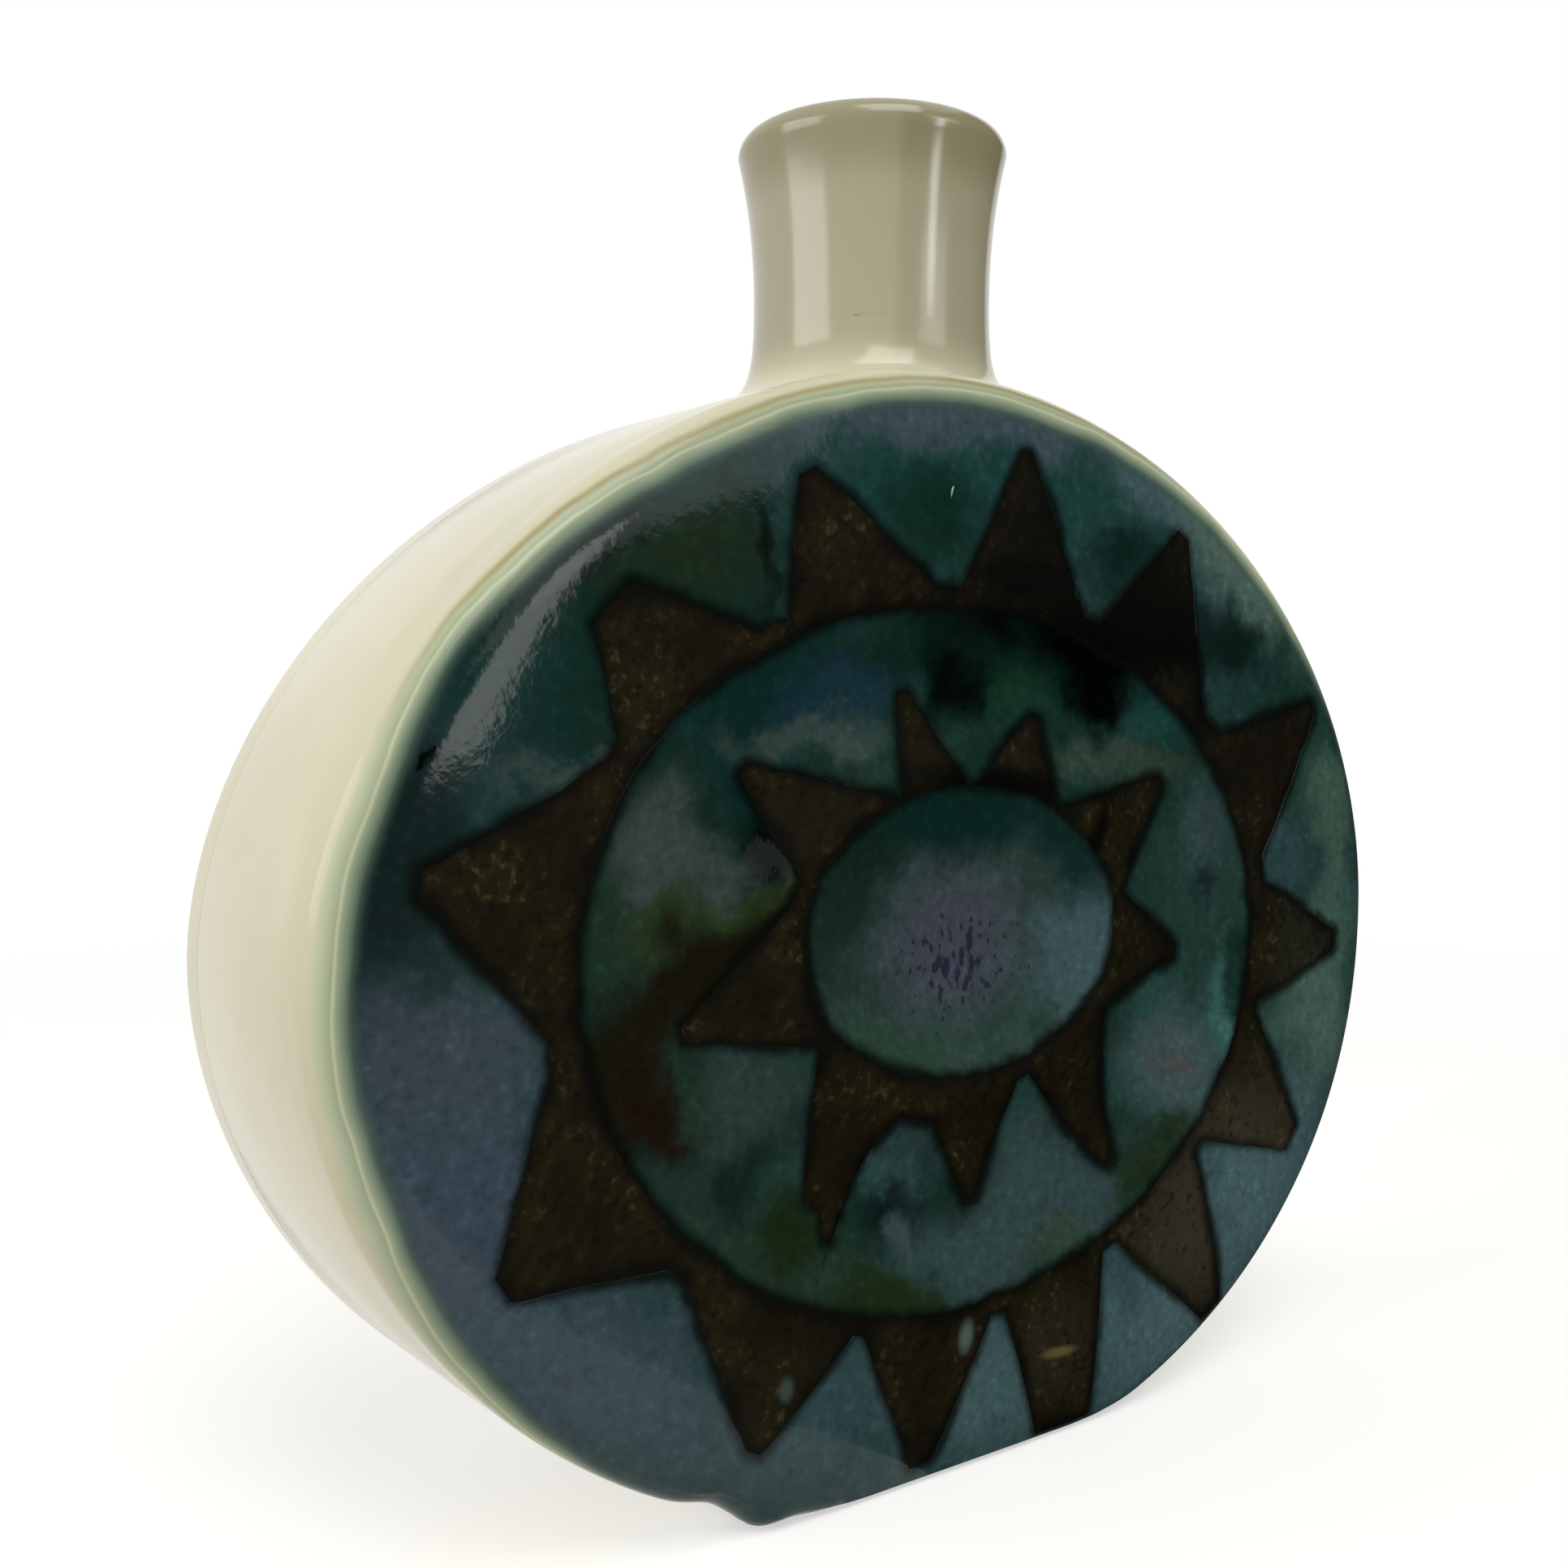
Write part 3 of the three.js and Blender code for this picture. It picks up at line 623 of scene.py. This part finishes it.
def glass(name, stops, spots, gloss):
    """Glossy face glaze: clouded colour, painted spots, fine speckle and a dark line at its edge."""
    material, tree = new_material(name)
    place = node(tree, "ShaderNodeTexCoord").outputs["Object"]
    drift = place  # the colours ran in wide, middling and fine wanderings
    for size, reach in ((12 * MM, 10 * MM), (3.5 * MM, 5 * MM), (0.7 * MM, 1.6 * MM)):
        wander = node(tree, "ShaderNodeTexNoise", {"Vector": place, "Scale": 1 / size, "Detail": 1.0})
        step = node(tree, "ShaderNodeVectorMath", {0: wander.outputs["Color"], 1: (0.5,) * 3},
                    operation="SUBTRACT")
        drift = node(tree, "ShaderNodeVectorMath", {0: step, 1: (reach,) * 3, 2: drift},
                     operation="MULTIPLY_ADD")
    cloud = node(tree, "ShaderNodeTexNoise", {"Vector": drift, "Scale": 1 / (11 * MM), "Detail": 4.0})
    colour = node(tree, "ShaderNodeValToRGB", {"Fac": cloud}, stops=stops)
    colour = painted(tree, colour, drift, spots)
    speckle = node(tree, "ShaderNodeTexNoise", {"Vector": place, "Scale": 1 / (0.9 * MM), "Detail": 2.0})
    pale = node(tree, "ShaderNodeMapRange", {
        "Value": speckle, "From Min": 0.52, "From Max": 0.76, "To Max": 0.65})
    colour = node(tree, "ShaderNodeMix", {"Factor": pale, "A": colour, "B": linear("#b0b8bc")},
                  data_type="RGBA", blend_type="DODGE")
    dark = node(tree, "ShaderNodeMapRange", {
        "Value": speckle, "From Min": 0.45, "From Max": 0.2, "To Max": 0.35})
    colour = node(tree, "ShaderNodeMix", {"Factor": dark, "A": colour, "B": linear("#0c1a18")},
                  data_type="RGBA")
    rim = node(tree, "ShaderNodeAttribute", attribute_name="edge_mm").outputs["Fac"]
    ragged = node(tree, "ShaderNodeMath", {0: cloud, 1: 2.4, 2: rim}, operation="MULTIPLY_ADD")
    line = node(tree, "ShaderNodeMapRange", {
        "Value": ragged, "From Min": 2.5, "From Max": 1.2, "To Max": 0.9}, interpolation_type="SMOOTHSTEP")
    colour = node(tree, "ShaderNodeMix", {"Factor": line, "A": colour, "B": linear("#0a0e09")},
                  data_type="RGBA")
    peel = node(tree, "ShaderNodeBump", {"Height": speckle, "Strength": 1.0, "Distance": 0.013 * MM})
    shader = node(tree, "ShaderNodeBsdfPrincipled", {
        "Base Color": colour, "Roughness": 0.09, "Specular IOR Level": gloss, "Normal": peel})
    node(tree, "ShaderNodeOutputMaterial", {"Surface": shader})
    return material


def laid_over(material, cover, colour):
    """Mixes another colour over what a glaze has so far."""
    tree = material.node_tree
    shader = tree.nodes["Principled BSDF"]
    before = shader.inputs["Base Color"].links[0].from_socket
    mixed = node(tree, "ShaderNodeMix", {"Factor": cover, "A": before, "B": colour}, data_type="RGBA")
    tree.links.new(mixed.outputs["Result"], shader.inputs["Base Color"])


lavender_glaze = glass("lavender_glaze", gloss=0.03, stops=(
    (0.35, "#24382f"), (0.5, "#2e433d"), (0.65, "#394e4a")), spots=(
    # Painted light on the dish's lower and right wall.
    ("painted light, green below", -7, 41, 14, 5, 8, "#30473a", 0.8),
    ("painted light, teal at the right", 15.8, 48, 6, 9, 0, "#455b60", 0.9),
    ("dark left side", -18, 53, 4.5, 8, 0, "#192c26", 0.85),
    # Painted shade on the dish's upper wall, as a dark crescent.
    ("painted shade, crescent", -1, 62.5, 20, 6.4, 0, "#0c2a27", 0.98),
    ("painted shade, right end of the crescent", 13.5, 58.5, 7, 5, 35, "#0e2a27", 0.9),
    ("painted shade, left end of the crescent", -13, 58, 7, 6, -35, "#122822", 0.9),
    ("lavender disc", -1.1, 50, 11, 8, 0, "#424c52", 1.0),
    ("lavender core", -0.8, 49.6, 8.5, 6.5, 0, "#434951", 0.9)))

# Violet specks, longer than wide, crowd a little under the middle of the pool.
tree = lavender_glaze.node_tree
place = node(tree, "ShaderNodeTexCoord").outputs["Object"]
under_middle = node(tree, "ShaderNodeMapping", {
    "Vector": place, "Location": (0, 0, (centre_z - 2.5) * MM), "Scale": (7.5 * MM, 1.0, 5 * MM)},
    vector_type="TEXTURE")
away = node(tree, "ShaderNodeVectorMath", {0: under_middle}, operation="LENGTH").outputs["Value"]
upright = node(tree, "ShaderNodeMapping", {"Vector": place, "Scale": (1.0, 1.0, 0.65)})
specks = node(tree, "ShaderNodeTexNoise", {"Vector": upright, "Scale": 1 / (0.8 * MM), "Detail": 1.0})
specks = node(tree, "ShaderNodeMath", {0: away, 1: -0.22, 2: specks}, operation="MULTIPLY_ADD")
specks = node(tree, "ShaderNodeMapRange", {
    "Value": specks, "From Min": 0.43, "From Max": 0.52, "To Max": 0.85})
laid_over(lavender_glaze, specks, linear("#25203a"))

pool_steps = np.sin(np.linspace(0, 1, 41)[1:] * np.pi / 2)
pool_clay = [face_ring(pool_edge * step, glaze) for step in pool_steps]
pool_distance = edge_distance(pool_clay, pool_edge)
pool_rings = [pole(face_y + dish_depth)]
pool_rings += [glaze_top(*pair) for pair in zip(pool_clay, pool_distance)]
pool_rings += [glaze_under(points) for points in pool_clay[::-4]]
pool_rings.append(pole(face_y + dish_depth + glaze - seat))
pool_fields = [np.array([far_off]), *pool_distance, *pool_distance[::-4], np.array([far_off])]
pool_glaze = skin("pool_glaze_visual", pool_rings, lavender_glaze, edge_mm=pool_fields)
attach(pool_glaze, "root")
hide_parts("pool_glaze")

# Ring glaze: the band of glass in the groove, from the inner brown rays to the outer brown
# ring. Teal and green, with milky and rusty patches where the coats overlap. Painted shade makes it
# black at the top and painted light paler at the bottom; pale veils and a grey cloud are painted
# reflections, with a painted highlight and a painted glint at the right.
teal_glaze = glass("teal_glaze", gloss=0.02, stops=(
    (0.35, "#10261f"), (0.5, "#1a342d"), (0.65, "#25423d")), spots=(
    # Painted shade: darker at the top of the groove.
    ("painted shade, upper left", -25, 72, 16, 10, -35, "#0f2e2b", 0.9),
    ("painted shade, top of the groove", 0, 77, 16, 7, 0, "#0b231d", 0.85),
    ("grey green, left", -34, 58, 9, 10, 0, "#26382f", 0.85),
    ("slate, lower left", -26, 37, 10, 9, 0, "#293c38", 0.85),
    ("sage, lower left", -23, 23, 15, 6, 25, "#263a2f", 0.9),
    # Painted light: paler at the bottom of the groove.
    ("painted light, bottom of the groove", 8, 22, 18, 6.5, -5, "#384b4c", 0.9),
    ("grey teal, lower right", 30, 33, 9, 11, -20, "#3f5656", 0.9),
    ("teal, right", 34, 55, 9, 13, 0, "#2a413c", 0.9),
    ("blue speckle", -15, 72.5, 8, 4, -10, "#1b3442", 0.8),
    # Painted reflections: a pale veil and a grey cloud at the left.
    ("painted reflection at the left", -18.5, 68.6, 10, 2.2, 3, "#3a4b46", 0.9),
    ("painted reflection, grey cloud", -33.5, 59.5, 6, 5.5, 0, "#424d4a", 0.9),
    ("green, left edge", -38.5, 54, 4, 6, 0, "#20362a", 0.85),
    ("black by the ray", -22.5, 59.5, 5.5, 6.5, 0, "#020c09", 1.0),
    ("olive glow", -28, 54.5, 9, 3, -12, "#2b3c1e", 0.85),
    ("brown band", -30, 49.5, 11, 4.4, -25, "#1a160a", 1.0),
    ("brown band, lower", -38, 43.5, 6.5, 8, 0, "#1b170b", 1.0),
    ("red-brown end", -35.5, 37, 5, 5, 0, "#1c130a", 0.95),
    ("green beside the band", -30.5, 40, 2.5, 5, 0, "#22382b", 0.8),
    ("pale slate", -24.5, 39.5, 5.5, 5.5, 0, "#2f433f", 0.9),
    ("green, lower left", -32, 29.5, 6, 4.5, 30, "#22372d", 0.85),
    ("shade under the slate", -25, 31.5, 5, 3.5, 0, "#13211f", 0.8),
    ("olive blot", -20.5, 25.5, 5.5, 4, 0, "#1a2810", 0.9),
    ("olive, bottom", -9, 17.5, 10, 3, 8, "#1e2d12", 0.9),
    ("slate between the lower rays", -8, 31.5, 6, 6, 0, "#2f4445", 0.9),
    ("slate right of the bottom ray", 9, 29.5, 6, 6, 0, "#3a4f4f", 0.9),
    ("swirl", -7.5, 25.6, 5.4, 4.4, 0, "#0c1a1a", 0.9),
    ("middle of the swirl", -6.2, 24.0, 3.0, 2.6, 0, "#3d4f50", 0.9),
    ("bright teal", -11, 29.6, 6, 1.8, -10, "#2f4e4d", 0.8),
    ("olive, lower right", 25.5, 26, 7, 3.2, -40, "#1f2f1a", 0.9),
    ("green, bottom edge", 15, 17.6, 10, 2.8, -8, "#35493b", 0.85),
    # Painted highlight on the groove's wall at the right.
    ("painted highlight, right", 26, 42, 5, 4.5, 0, "#2a4d49", 0.8),
    ("pink spot's halo", 30, 35.8, 5, 5, 0, "#445452", 0.85),
    ("pink spot", 29.6, 35.6, 2.2, 2.2, 0, "#4e494d", 0.7),
    # Painted glint along the groove's right edge.
    ("painted glint, right edge", 37.5, 40, 2, 6, 15, "#3c625c", 0.8),
    ("lavender, right", 33.5, 59.5, 4.5, 6, 0, "#354949", 0.9),
    ("dark blue fleck, right", 34.4, 52, 2.6, 2.6, 0, "#122428", 0.8),
    ("dark by the upper right ray", 22.6, 57.6, 2.4, 5.5, 22, "#020605", 0.95),
    # Painted reflection: a pale veil at the right.
    ("painted reflection at the right", 21.5, 66.4, 10, 2.4, 0, "#36473c", 0.9),
    ("green between the rays", 5.5, 74.5, 5, 4, 0, "#173a28", 0.9),
    ("green by the tongue", 13.5, 74.5, 4.5, 3.6, 0, "#183b2e", 0.9),
    ("teal, upper right", 27, 71.5, 6, 3, 15, "#1d4640", 0.9),
    # Painted shade: black at the top and upper right of the groove.
    ("painted shade over the top ray", -1.5, 74.5, 4, 5.5, 0, "#040806", 0.95),
    ("painted shade, top edge", 7, 82, 13, 3, 0, "#030605", 0.95),
    ("painted shade, upper right", 20, 79, 18, 6.2, 4, "#010201", 1.0),
    ("painted shade, right end", 34.5, 73.5, 4.5, 6, 35, "#010201", 1.0),
    ("painted shade over the tongue", 17.5, 76, 6.5, 5, 0, "#010202", 1.0),
    ("painted shade, tongue", 19.2, 72.6, 3.4, 5, 0, "#020303", 1.0)))

ring_steps = 0.5 - 0.5 * np.cos(np.linspace(0, 1, 57) * np.pi)
ring_clay = [face_ring(ring_inner + (ring_outer - ring_inner) * step, glaze) for step in ring_steps]
ring_distance = edge_distance(ring_clay, ring_inner, ring_outer)
ring_rings = [glaze_top(*pair) for pair in zip(ring_clay, ring_distance)]
ring_rings += [glaze_under(points) for points in ring_clay[::-4]]
ring_glaze = skin("ring_glaze_visual", ring_rings, teal_glaze, loop=True,
                  edge_mm=[*ring_distance, *ring_distance[::-4]])
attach(ring_glaze, "root")
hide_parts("ring_glaze")

# Margin glaze: the field between the outer rays and the wall, poured over the rounded edge,
# where it thins out through grey and pale green into the cream. Slate blue over green.
slate_glaze = glass("slate_glaze", gloss=0.14, stops=(
    (0.35, "#1a3530"), (0.5, "#243f3d"), (0.65, "#314a4d")), spots=(
    ("dark, upper left", -38, 80, 22, 15, -45, "#10271f", 0.95),
    ("teal, top", 2, 92, 24, 8, 0, "#1c403c", 0.9),
    ("lavender, top rim", -5, 99.5, 30, 5.5, 0, "#435259", 0.95),
    ("teal, upper right", 24, 89, 11, 7, 30, "#21423f", 0.9),
    ("grey rim, top right", 26, 95.4, 12, 5, 26, "#495f63", 0.95),
    ("grey rim, upper right", 40.5, 87.2, 19, 6.2, 44, "#53695f", 0.95),
    ("dark, right", 49, 73, 8, 9, 30, "#16312a", 0.9),
    ("pale green, right", 55, 59, 4, 9, 0, "#455d4f", 0.9),
    ("sage, right", 53, 40, 8, 14, 5, "#4a6459", 0.95),
    ("pale teal, lower right", 43, 20, 14, 10, -40, "#4b656a", 0.95),
    ("pale teal, right of the foot", 29, 8, 14, 9, 0, "#4c666a", 0.95),
    ("pale teal, foot", 2, 7, 14, 9, 0, "#476163", 0.95),
    ("pale teal, left of the foot", -20, 8, 12, 7, 10, "#364c4f", 0.95),
    ("slate, lower left", -34, 12, 11, 7, 25, "#364a4f", 0.9),
    ("periwinkle, lower left", -42, 20, 13, 9, 35, "#3c4d54", 0.95),
    ("periwinkle, left", -51.5, 34, 9, 12, 15, "#3f4c58", 0.95),
    ("grey lavender, left", -54, 46, 9, 8, 0, "#3f4b52", 0.95),
    ("navy", -57, 60, 8, 12, 4, "#142423", 1.0),
    ("teal by the rim", -28, 93, 10, 3.5, -25, "#1e4040", 0.85),
    ("ghost of a ray", -31.5, 85, 9, 5.5, -8, "#1e2f20", 0.95),
    ("ghost's right edge", -24.4, 85, 1.5, 6.5, 8, "#0a120c", 0.8),
    ("ghost's left edge", -39, 84.5, 2, 5, 20, "#0a1310", 0.8),
    ("dark between the top rays", -4.5, 88, 7, 6, 0, "#0e2a20", 0.9),
    ("dark, upper right", 20, 86, 5, 5, 0, "#0b211c", 0.9),
    ("dark by the right ray", 35, 80, 6, 5, 40, "#0c201d", 0.9),
    ("dark notch", 36.5, 77.6, 6.5, 4.2, 20, "#0c1f1b", 0.85),
    ("green, right", 47, 66, 6, 5, 0, "#203f2c", 0.9),
    ("teal over the left ray", -46, 72, 9, 5, -40, "#12312c", 0.9),
    # Painted reflection: a pale veil over the left ray.
    ("painted reflection over the left ray", -43.5, 66.2, 6.5, 1.2, -18, "#3d4e4a", 0.8),
    ("white speck", -2.2, 90, 0.5, 0.3, 0, "#c9d2cd", 0.9),
    ("pinhole", -55.6, 66, 0.9, 0.7, 0, "#020304", 0.95)))

# Towards the wall the glass thins out to cream, with a thin brown line near the top, where it broke
# over the edge. The pale stop at 0.47 is a painted highlight along the rounded edge.
tree = slate_glaze.node_tree
place = node(tree, "ShaderNodeTexCoord").outputs["Object"]
sway = node(tree, "ShaderNodeTexNoise", {"Vector": place, "Scale": 1 / (12 * MM), "Detail": 2.0})
from_wall = node(tree, "ShaderNodeAttribute", attribute_name="rim_mm").outputs["Fac"]
from_wall = node(tree, "ShaderNodeMath", {0: sway, 1: 1.6, 2: from_wall}, operation="MULTIPLY_ADD")
reach_in = node(tree, "ShaderNodeMapRange", {"Value": from_wall, "From Min": 4.0, "From Max": 8.1})
thinning_and_highlight = node(tree, "ShaderNodeValToRGB", {"Fac": reach_in}, stops=(
    # The stop at 0.47 is a painted highlight along the rounded edge.
    (0.0, "#d6d0b2"), (0.24, "#c0c6a7"), (0.42, "#a8b292"), (0.47, "#c6cdaa"), (0.53, "#a3ae90"),
    (0.63, "#84957c"), (0.8, "#506458"), (1.0, "#2f423c")))
cover = node(tree, "ShaderNodeMapRange", {"Value": from_wall, "From Min": 6.6, "From Max": 8.3},
             interpolation_type="SMOOTHSTEP")
thin = node(tree, "ShaderNodeMath", {0: 1.0, 1: cover}, operation="SUBTRACT")
laid_over(slate_glaze, thin, thinning_and_highlight)
bare_edge = node(tree, "ShaderNodeValToRGB", {"Fac": reach_in}, stops=(
    (0.1, "#000000"), (0.2, "#e0e0e0"), (0.25, "#e0e0e0"), (0.34, "#000000")))
axes = node(tree, "ShaderNodeSeparateXYZ", {"Vector": place}).outputs
near_top = node(tree, "ShaderNodeMapRange", {
    "Value": axes["Z"], "From Min": (centre_z + 18) * MM, "From Max": (centre_z + 32) * MM})
bare_line = node(tree, "ShaderNodeMath", {0: bare_edge, 1: near_top}, operation="MULTIPLY")
laid_over(slate_glaze, bare_line, linear("#a3925f"))

margin_steps = np.linspace(0, 1, 31) ** 1.6
margin_clay = [face_ring(margin_inner + (face_edge - margin_inner) * step, glaze) for step in margin_steps]
margin_distance = edge_distance(margin_clay, margin_inner)
margin_rings = [glaze_top(*pair) for pair in zip(margin_clay, margin_distance)]
bends = np.linspace(0, 1, 13)[1:]
foot_wipe = 0.5  # how far the glass is wiped back from the shelf
margin_rings += [edge_ring(bend, floor=foot_wipe) for bend in bends]
margin_rings.append(ring(outline(0.0, foot_wipe), front_seam_y - seam))
margin_rings.append(ring(outline(glaze - seat, foot_wipe), front_seam_y - seam))
margin_rings += [edge_ring(bend, glaze - seat, foot_wipe) for bend in bends[::-3]]
margin_rings += [glaze_under(points) for points in margin_clay[::-5]]

# How far each ring lies from the wall along the glass, and how much nearer to the wall the slate
# runs at the foot, at the right and in a few places at the left.
arc = edge_radius * (math.pi / 2 - edge_start)
straight = front_seam_y - face_y - face_fall - edge_radius * math.cos(edge_start)
rim_shift = 12 * bump(182, 26) + 1.7 * bump(226, 18) + bump(301, 16) - 0.35 * bump(332, 8)
rim_shift = rim_shift + 4.5 * bump(108, 38)
margin_width = np.linalg.norm(ring(face_edge, 0) - ring(margin_inner, 0), axis=1)
rim_top = [straight + arc + rim_shift + margin_width * (1 - step) for step in margin_steps]
rim_edge = [straight + arc * (1 - bend) + rim_shift for bend in bends] + [rim_shift] * 2
rim_under = [rim_edge[0]] * len(bends[::-3]) + rim_top[::-5]
far = np.full(columns, far_off)
edge_fields = [*margin_distance, *[far] * (len(bends) + 2 + len(bends[::-3])), *margin_distance[::-5]]
margin_glaze = skin("margin_glaze_visual", margin_rings, slate_glaze, loop=True,
                    edge_mm=edge_fields, rim_mm=[*rim_top, *rim_edge, *rim_under])
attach(margin_glaze, "root")
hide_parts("margin_glaze")

# Studio: a pale paper floor that runs out into white, and a dark cloth at the right that only
# the gloss shows. A large window is at the left, a dim tall one at the right and a lamp at the
# ceiling, with a pale card that lights nothing and shows in the glaze.
floor_half = 4.0  # metres, as the rest of the studio
fade_start, fade_end = 0.16, 0.45  # where the paper begins and ends to turn white
floor_lift = 0.55  # glow that keeps it pale to the eye without lighting the flask


def background_seen(tree):
    """1 on rays that see the white background: from the camera, off gloss and through glass."""
    rays = node(tree, "ShaderNodeLightPath").outputs
    seen = node(tree, "ShaderNodeMath", {0: rays["Is Camera Ray"], 1: rays["Is Glossy Ray"]},
                operation="MAXIMUM")
    return node(tree, "ShaderNodeMath", {0: seen, 1: rays["Is Transmission Ray"]}, operation="MAXIMUM")


# Floor paper: matt and warm white, with the flask's shadow on it near by, lit up to pure white
# further off.
floor_paper, tree = new_material("floor_paper")
place = node(tree, "ShaderNodeTexCoord").outputs["Object"]
away = node(tree, "ShaderNodeVectorMath", {0: place}, operation="LENGTH").outputs["Value"]
fade = node(tree, "ShaderNodeMapRange", {"Value": away, "From Min": fade_start, "From Max": fade_end},
            interpolation_type="SMOOTHSTEP")
seen = background_seen(tree)
lift = node(tree, "ShaderNodeMath", {0: seen, 1: floor_lift}, operation="MULTIPLY")
shader = node(tree, "ShaderNodeBsdfPrincipled", {
    "Base Color": linear("#d2d0cb"), "Roughness": 0.9, "Specular IOR Level": 0.1,
    "Emission Color": (1, 1, 1, 1), "Emission Strength": lift})
glow = node(tree, "ShaderNodeEmission", {"Color": (1, 1, 1, 1), "Strength": 1.0})
whiter = node(tree, "ShaderNodeMath", {0: fade, 1: seen}, operation="MULTIPLY")
blend = node(tree, "ShaderNodeMixShader", {"Fac": whiter, 1: shader, 2: glow})
node(tree, "ShaderNodeOutputMaterial", {"Surface": blend})
floor_mesh = bpy.data.meshes.new("floor")
floor_corners = [(x * floor_half, y * floor_half, 0) for x, y in ((-1, -1), (1, -1), (1, 1), (-1, 1))]
floor_mesh.from_pydata(floor_corners, [], [(0, 1, 2, 3)])
floor_mesh.materials.append(floor_paper)
floor = bpy.data.objects.new("floor", floor_mesh)
bpy.context.scene.collection.objects.link(floor)

# Dark cloth: matt and nearly black, laid from under the flask to the right and up behind the camera.
cloth_start, cloth_away, cloth_high = 0.002, 1.3, 1.7
cloth_lift = 0.0003  # over the paper
dark_cloth, tree = new_material("dark_cloth")
shader = node(tree, "ShaderNodeBsdfPrincipled", {"Base Color": linear("#20211f"), "Roughness": 0.9})
node(tree, "ShaderNodeOutputMaterial", {"Surface": shader})
room_mesh = bpy.data.meshes.new("room_side")
room_turns = [math.radians(a) for a in range(-15, 106, 10)]
room_steps = ((cloth_start, cloth_lift), (cloth_away, cloth_lift), (cloth_away, cloth_high))
room_points = [(d * math.sin(a), -d * math.cos(a), z) for d, z in room_steps for a in room_turns]
count = len(room_turns)
room_faces = [(i, i + 1, count + i + 1, count + i) for i in range(2 * count) if (i + 1) % count]
room_mesh.from_pydata(room_points, [], room_faces)
room_mesh.materials.append(dark_cloth)
room_side = bpy.data.objects.new("room_side", room_mesh)
room_side.visible_camera = False
room_side.visible_diffuse = False
room_side.visible_shadow = False
bpy.context.scene.collection.objects.link(room_side)

# Lamps: each stand's azimuth in degrees, height and distance, then the lamp's width, height, lean
# in degrees and watts.
for name, azimuth, height, distance, wide, tall, lean, power in (
        ("window_left", -100, 0.31, 0.7, 0.48, 0.34, 0, 2.0),
        ("window_right", 17.9, 0.24, 1.0, 0.13, 0.3, -10, 1.0),
        ("pale_card", 22, 0.46, 1.0, 0.5, 0.34, 0, 1.2),
        ("ceiling", -18, 1.0, 0.6, 0.7, 0.7, 0, 6.3)):
    lamp = bpy.data.lights.new(name, "AREA")
    lamp.shape = "RECTANGLE"
    lamp.size, lamp.size_y = wide, tall
    lamp.energy = power
    stand = bpy.data.objects.new(name, lamp)
    angle = math.radians(azimuth)
    stand.location = (distance * math.sin(angle), -distance * math.cos(angle), height)
    aim = Vector((0, 0, centre_z * MM)) - stand.location
    turned_lamp = aim.to_track_quat("-Z", "Y") @ Quaternion((0, 0, 1), math.radians(lean))
    stand.rotation_euler = turned_lamp.to_euler()
    stand.visible_diffuse = name != "pale_card"
    bpy.context.scene.collection.objects.link(stand)

room_light = 0.31  # what the pale room gives the flask, where 1 is white to the eye
world = bpy.data.worlds.new("studio")
bpy.context.scene.world = world
world.use_nodes = True
tree = world.node_tree
strength = node(tree, "ShaderNodeMapRange", {
    "Value": background_seen(tree), "To Min": room_light, "To Max": 1.0})
backdrop = tree.nodes["Background"]
backdrop.inputs["Color"].default_value = (1, 1, 1, 1)
tree.links.new(strength.outputs["Result"], backdrop.inputs["Strength"])

# Camera: close to the flask, at the photograph's angle. It stands off the face's middle and then
# turns a little to the left and upwards, and tilts, to frame the whole.
camera_data = bpy.data.cameras.new("camera")
camera_data.lens = 38.65
camera_data.sensor_width = 36
camera_data.clip_start = 0.005
camera = bpy.data.objects.new("camera", camera_data)
azimuth, elevation, distance = math.radians(-43.375), math.radians(7.301), 157.6 * MM
look_left, look_up, tilt = math.radians(6.425), math.radians(5.214), math.radians(1.011)
out = Vector((math.sin(azimuth) * math.cos(elevation), -math.cos(azimuth) * math.cos(elevation),
              math.sin(elevation)))
turns = ((azimuth, "Z"), (math.pi / 2 - elevation, "X"), (look_left, "Y"), (look_up, "X"), (tilt, "Z"))
pose = Matrix.Translation(Vector((0, face_y * MM, centre_z * MM)) + out * distance)
for angle, axis in turns:
    pose = pose @ Matrix.Rotation(angle, 4, axis)
camera.matrix_world = pose
bpy.context.scene.collection.objects.link(camera)
bpy.context.scene.camera = camera
bpy.context.scene.view_settings.view_transform = "Standard"
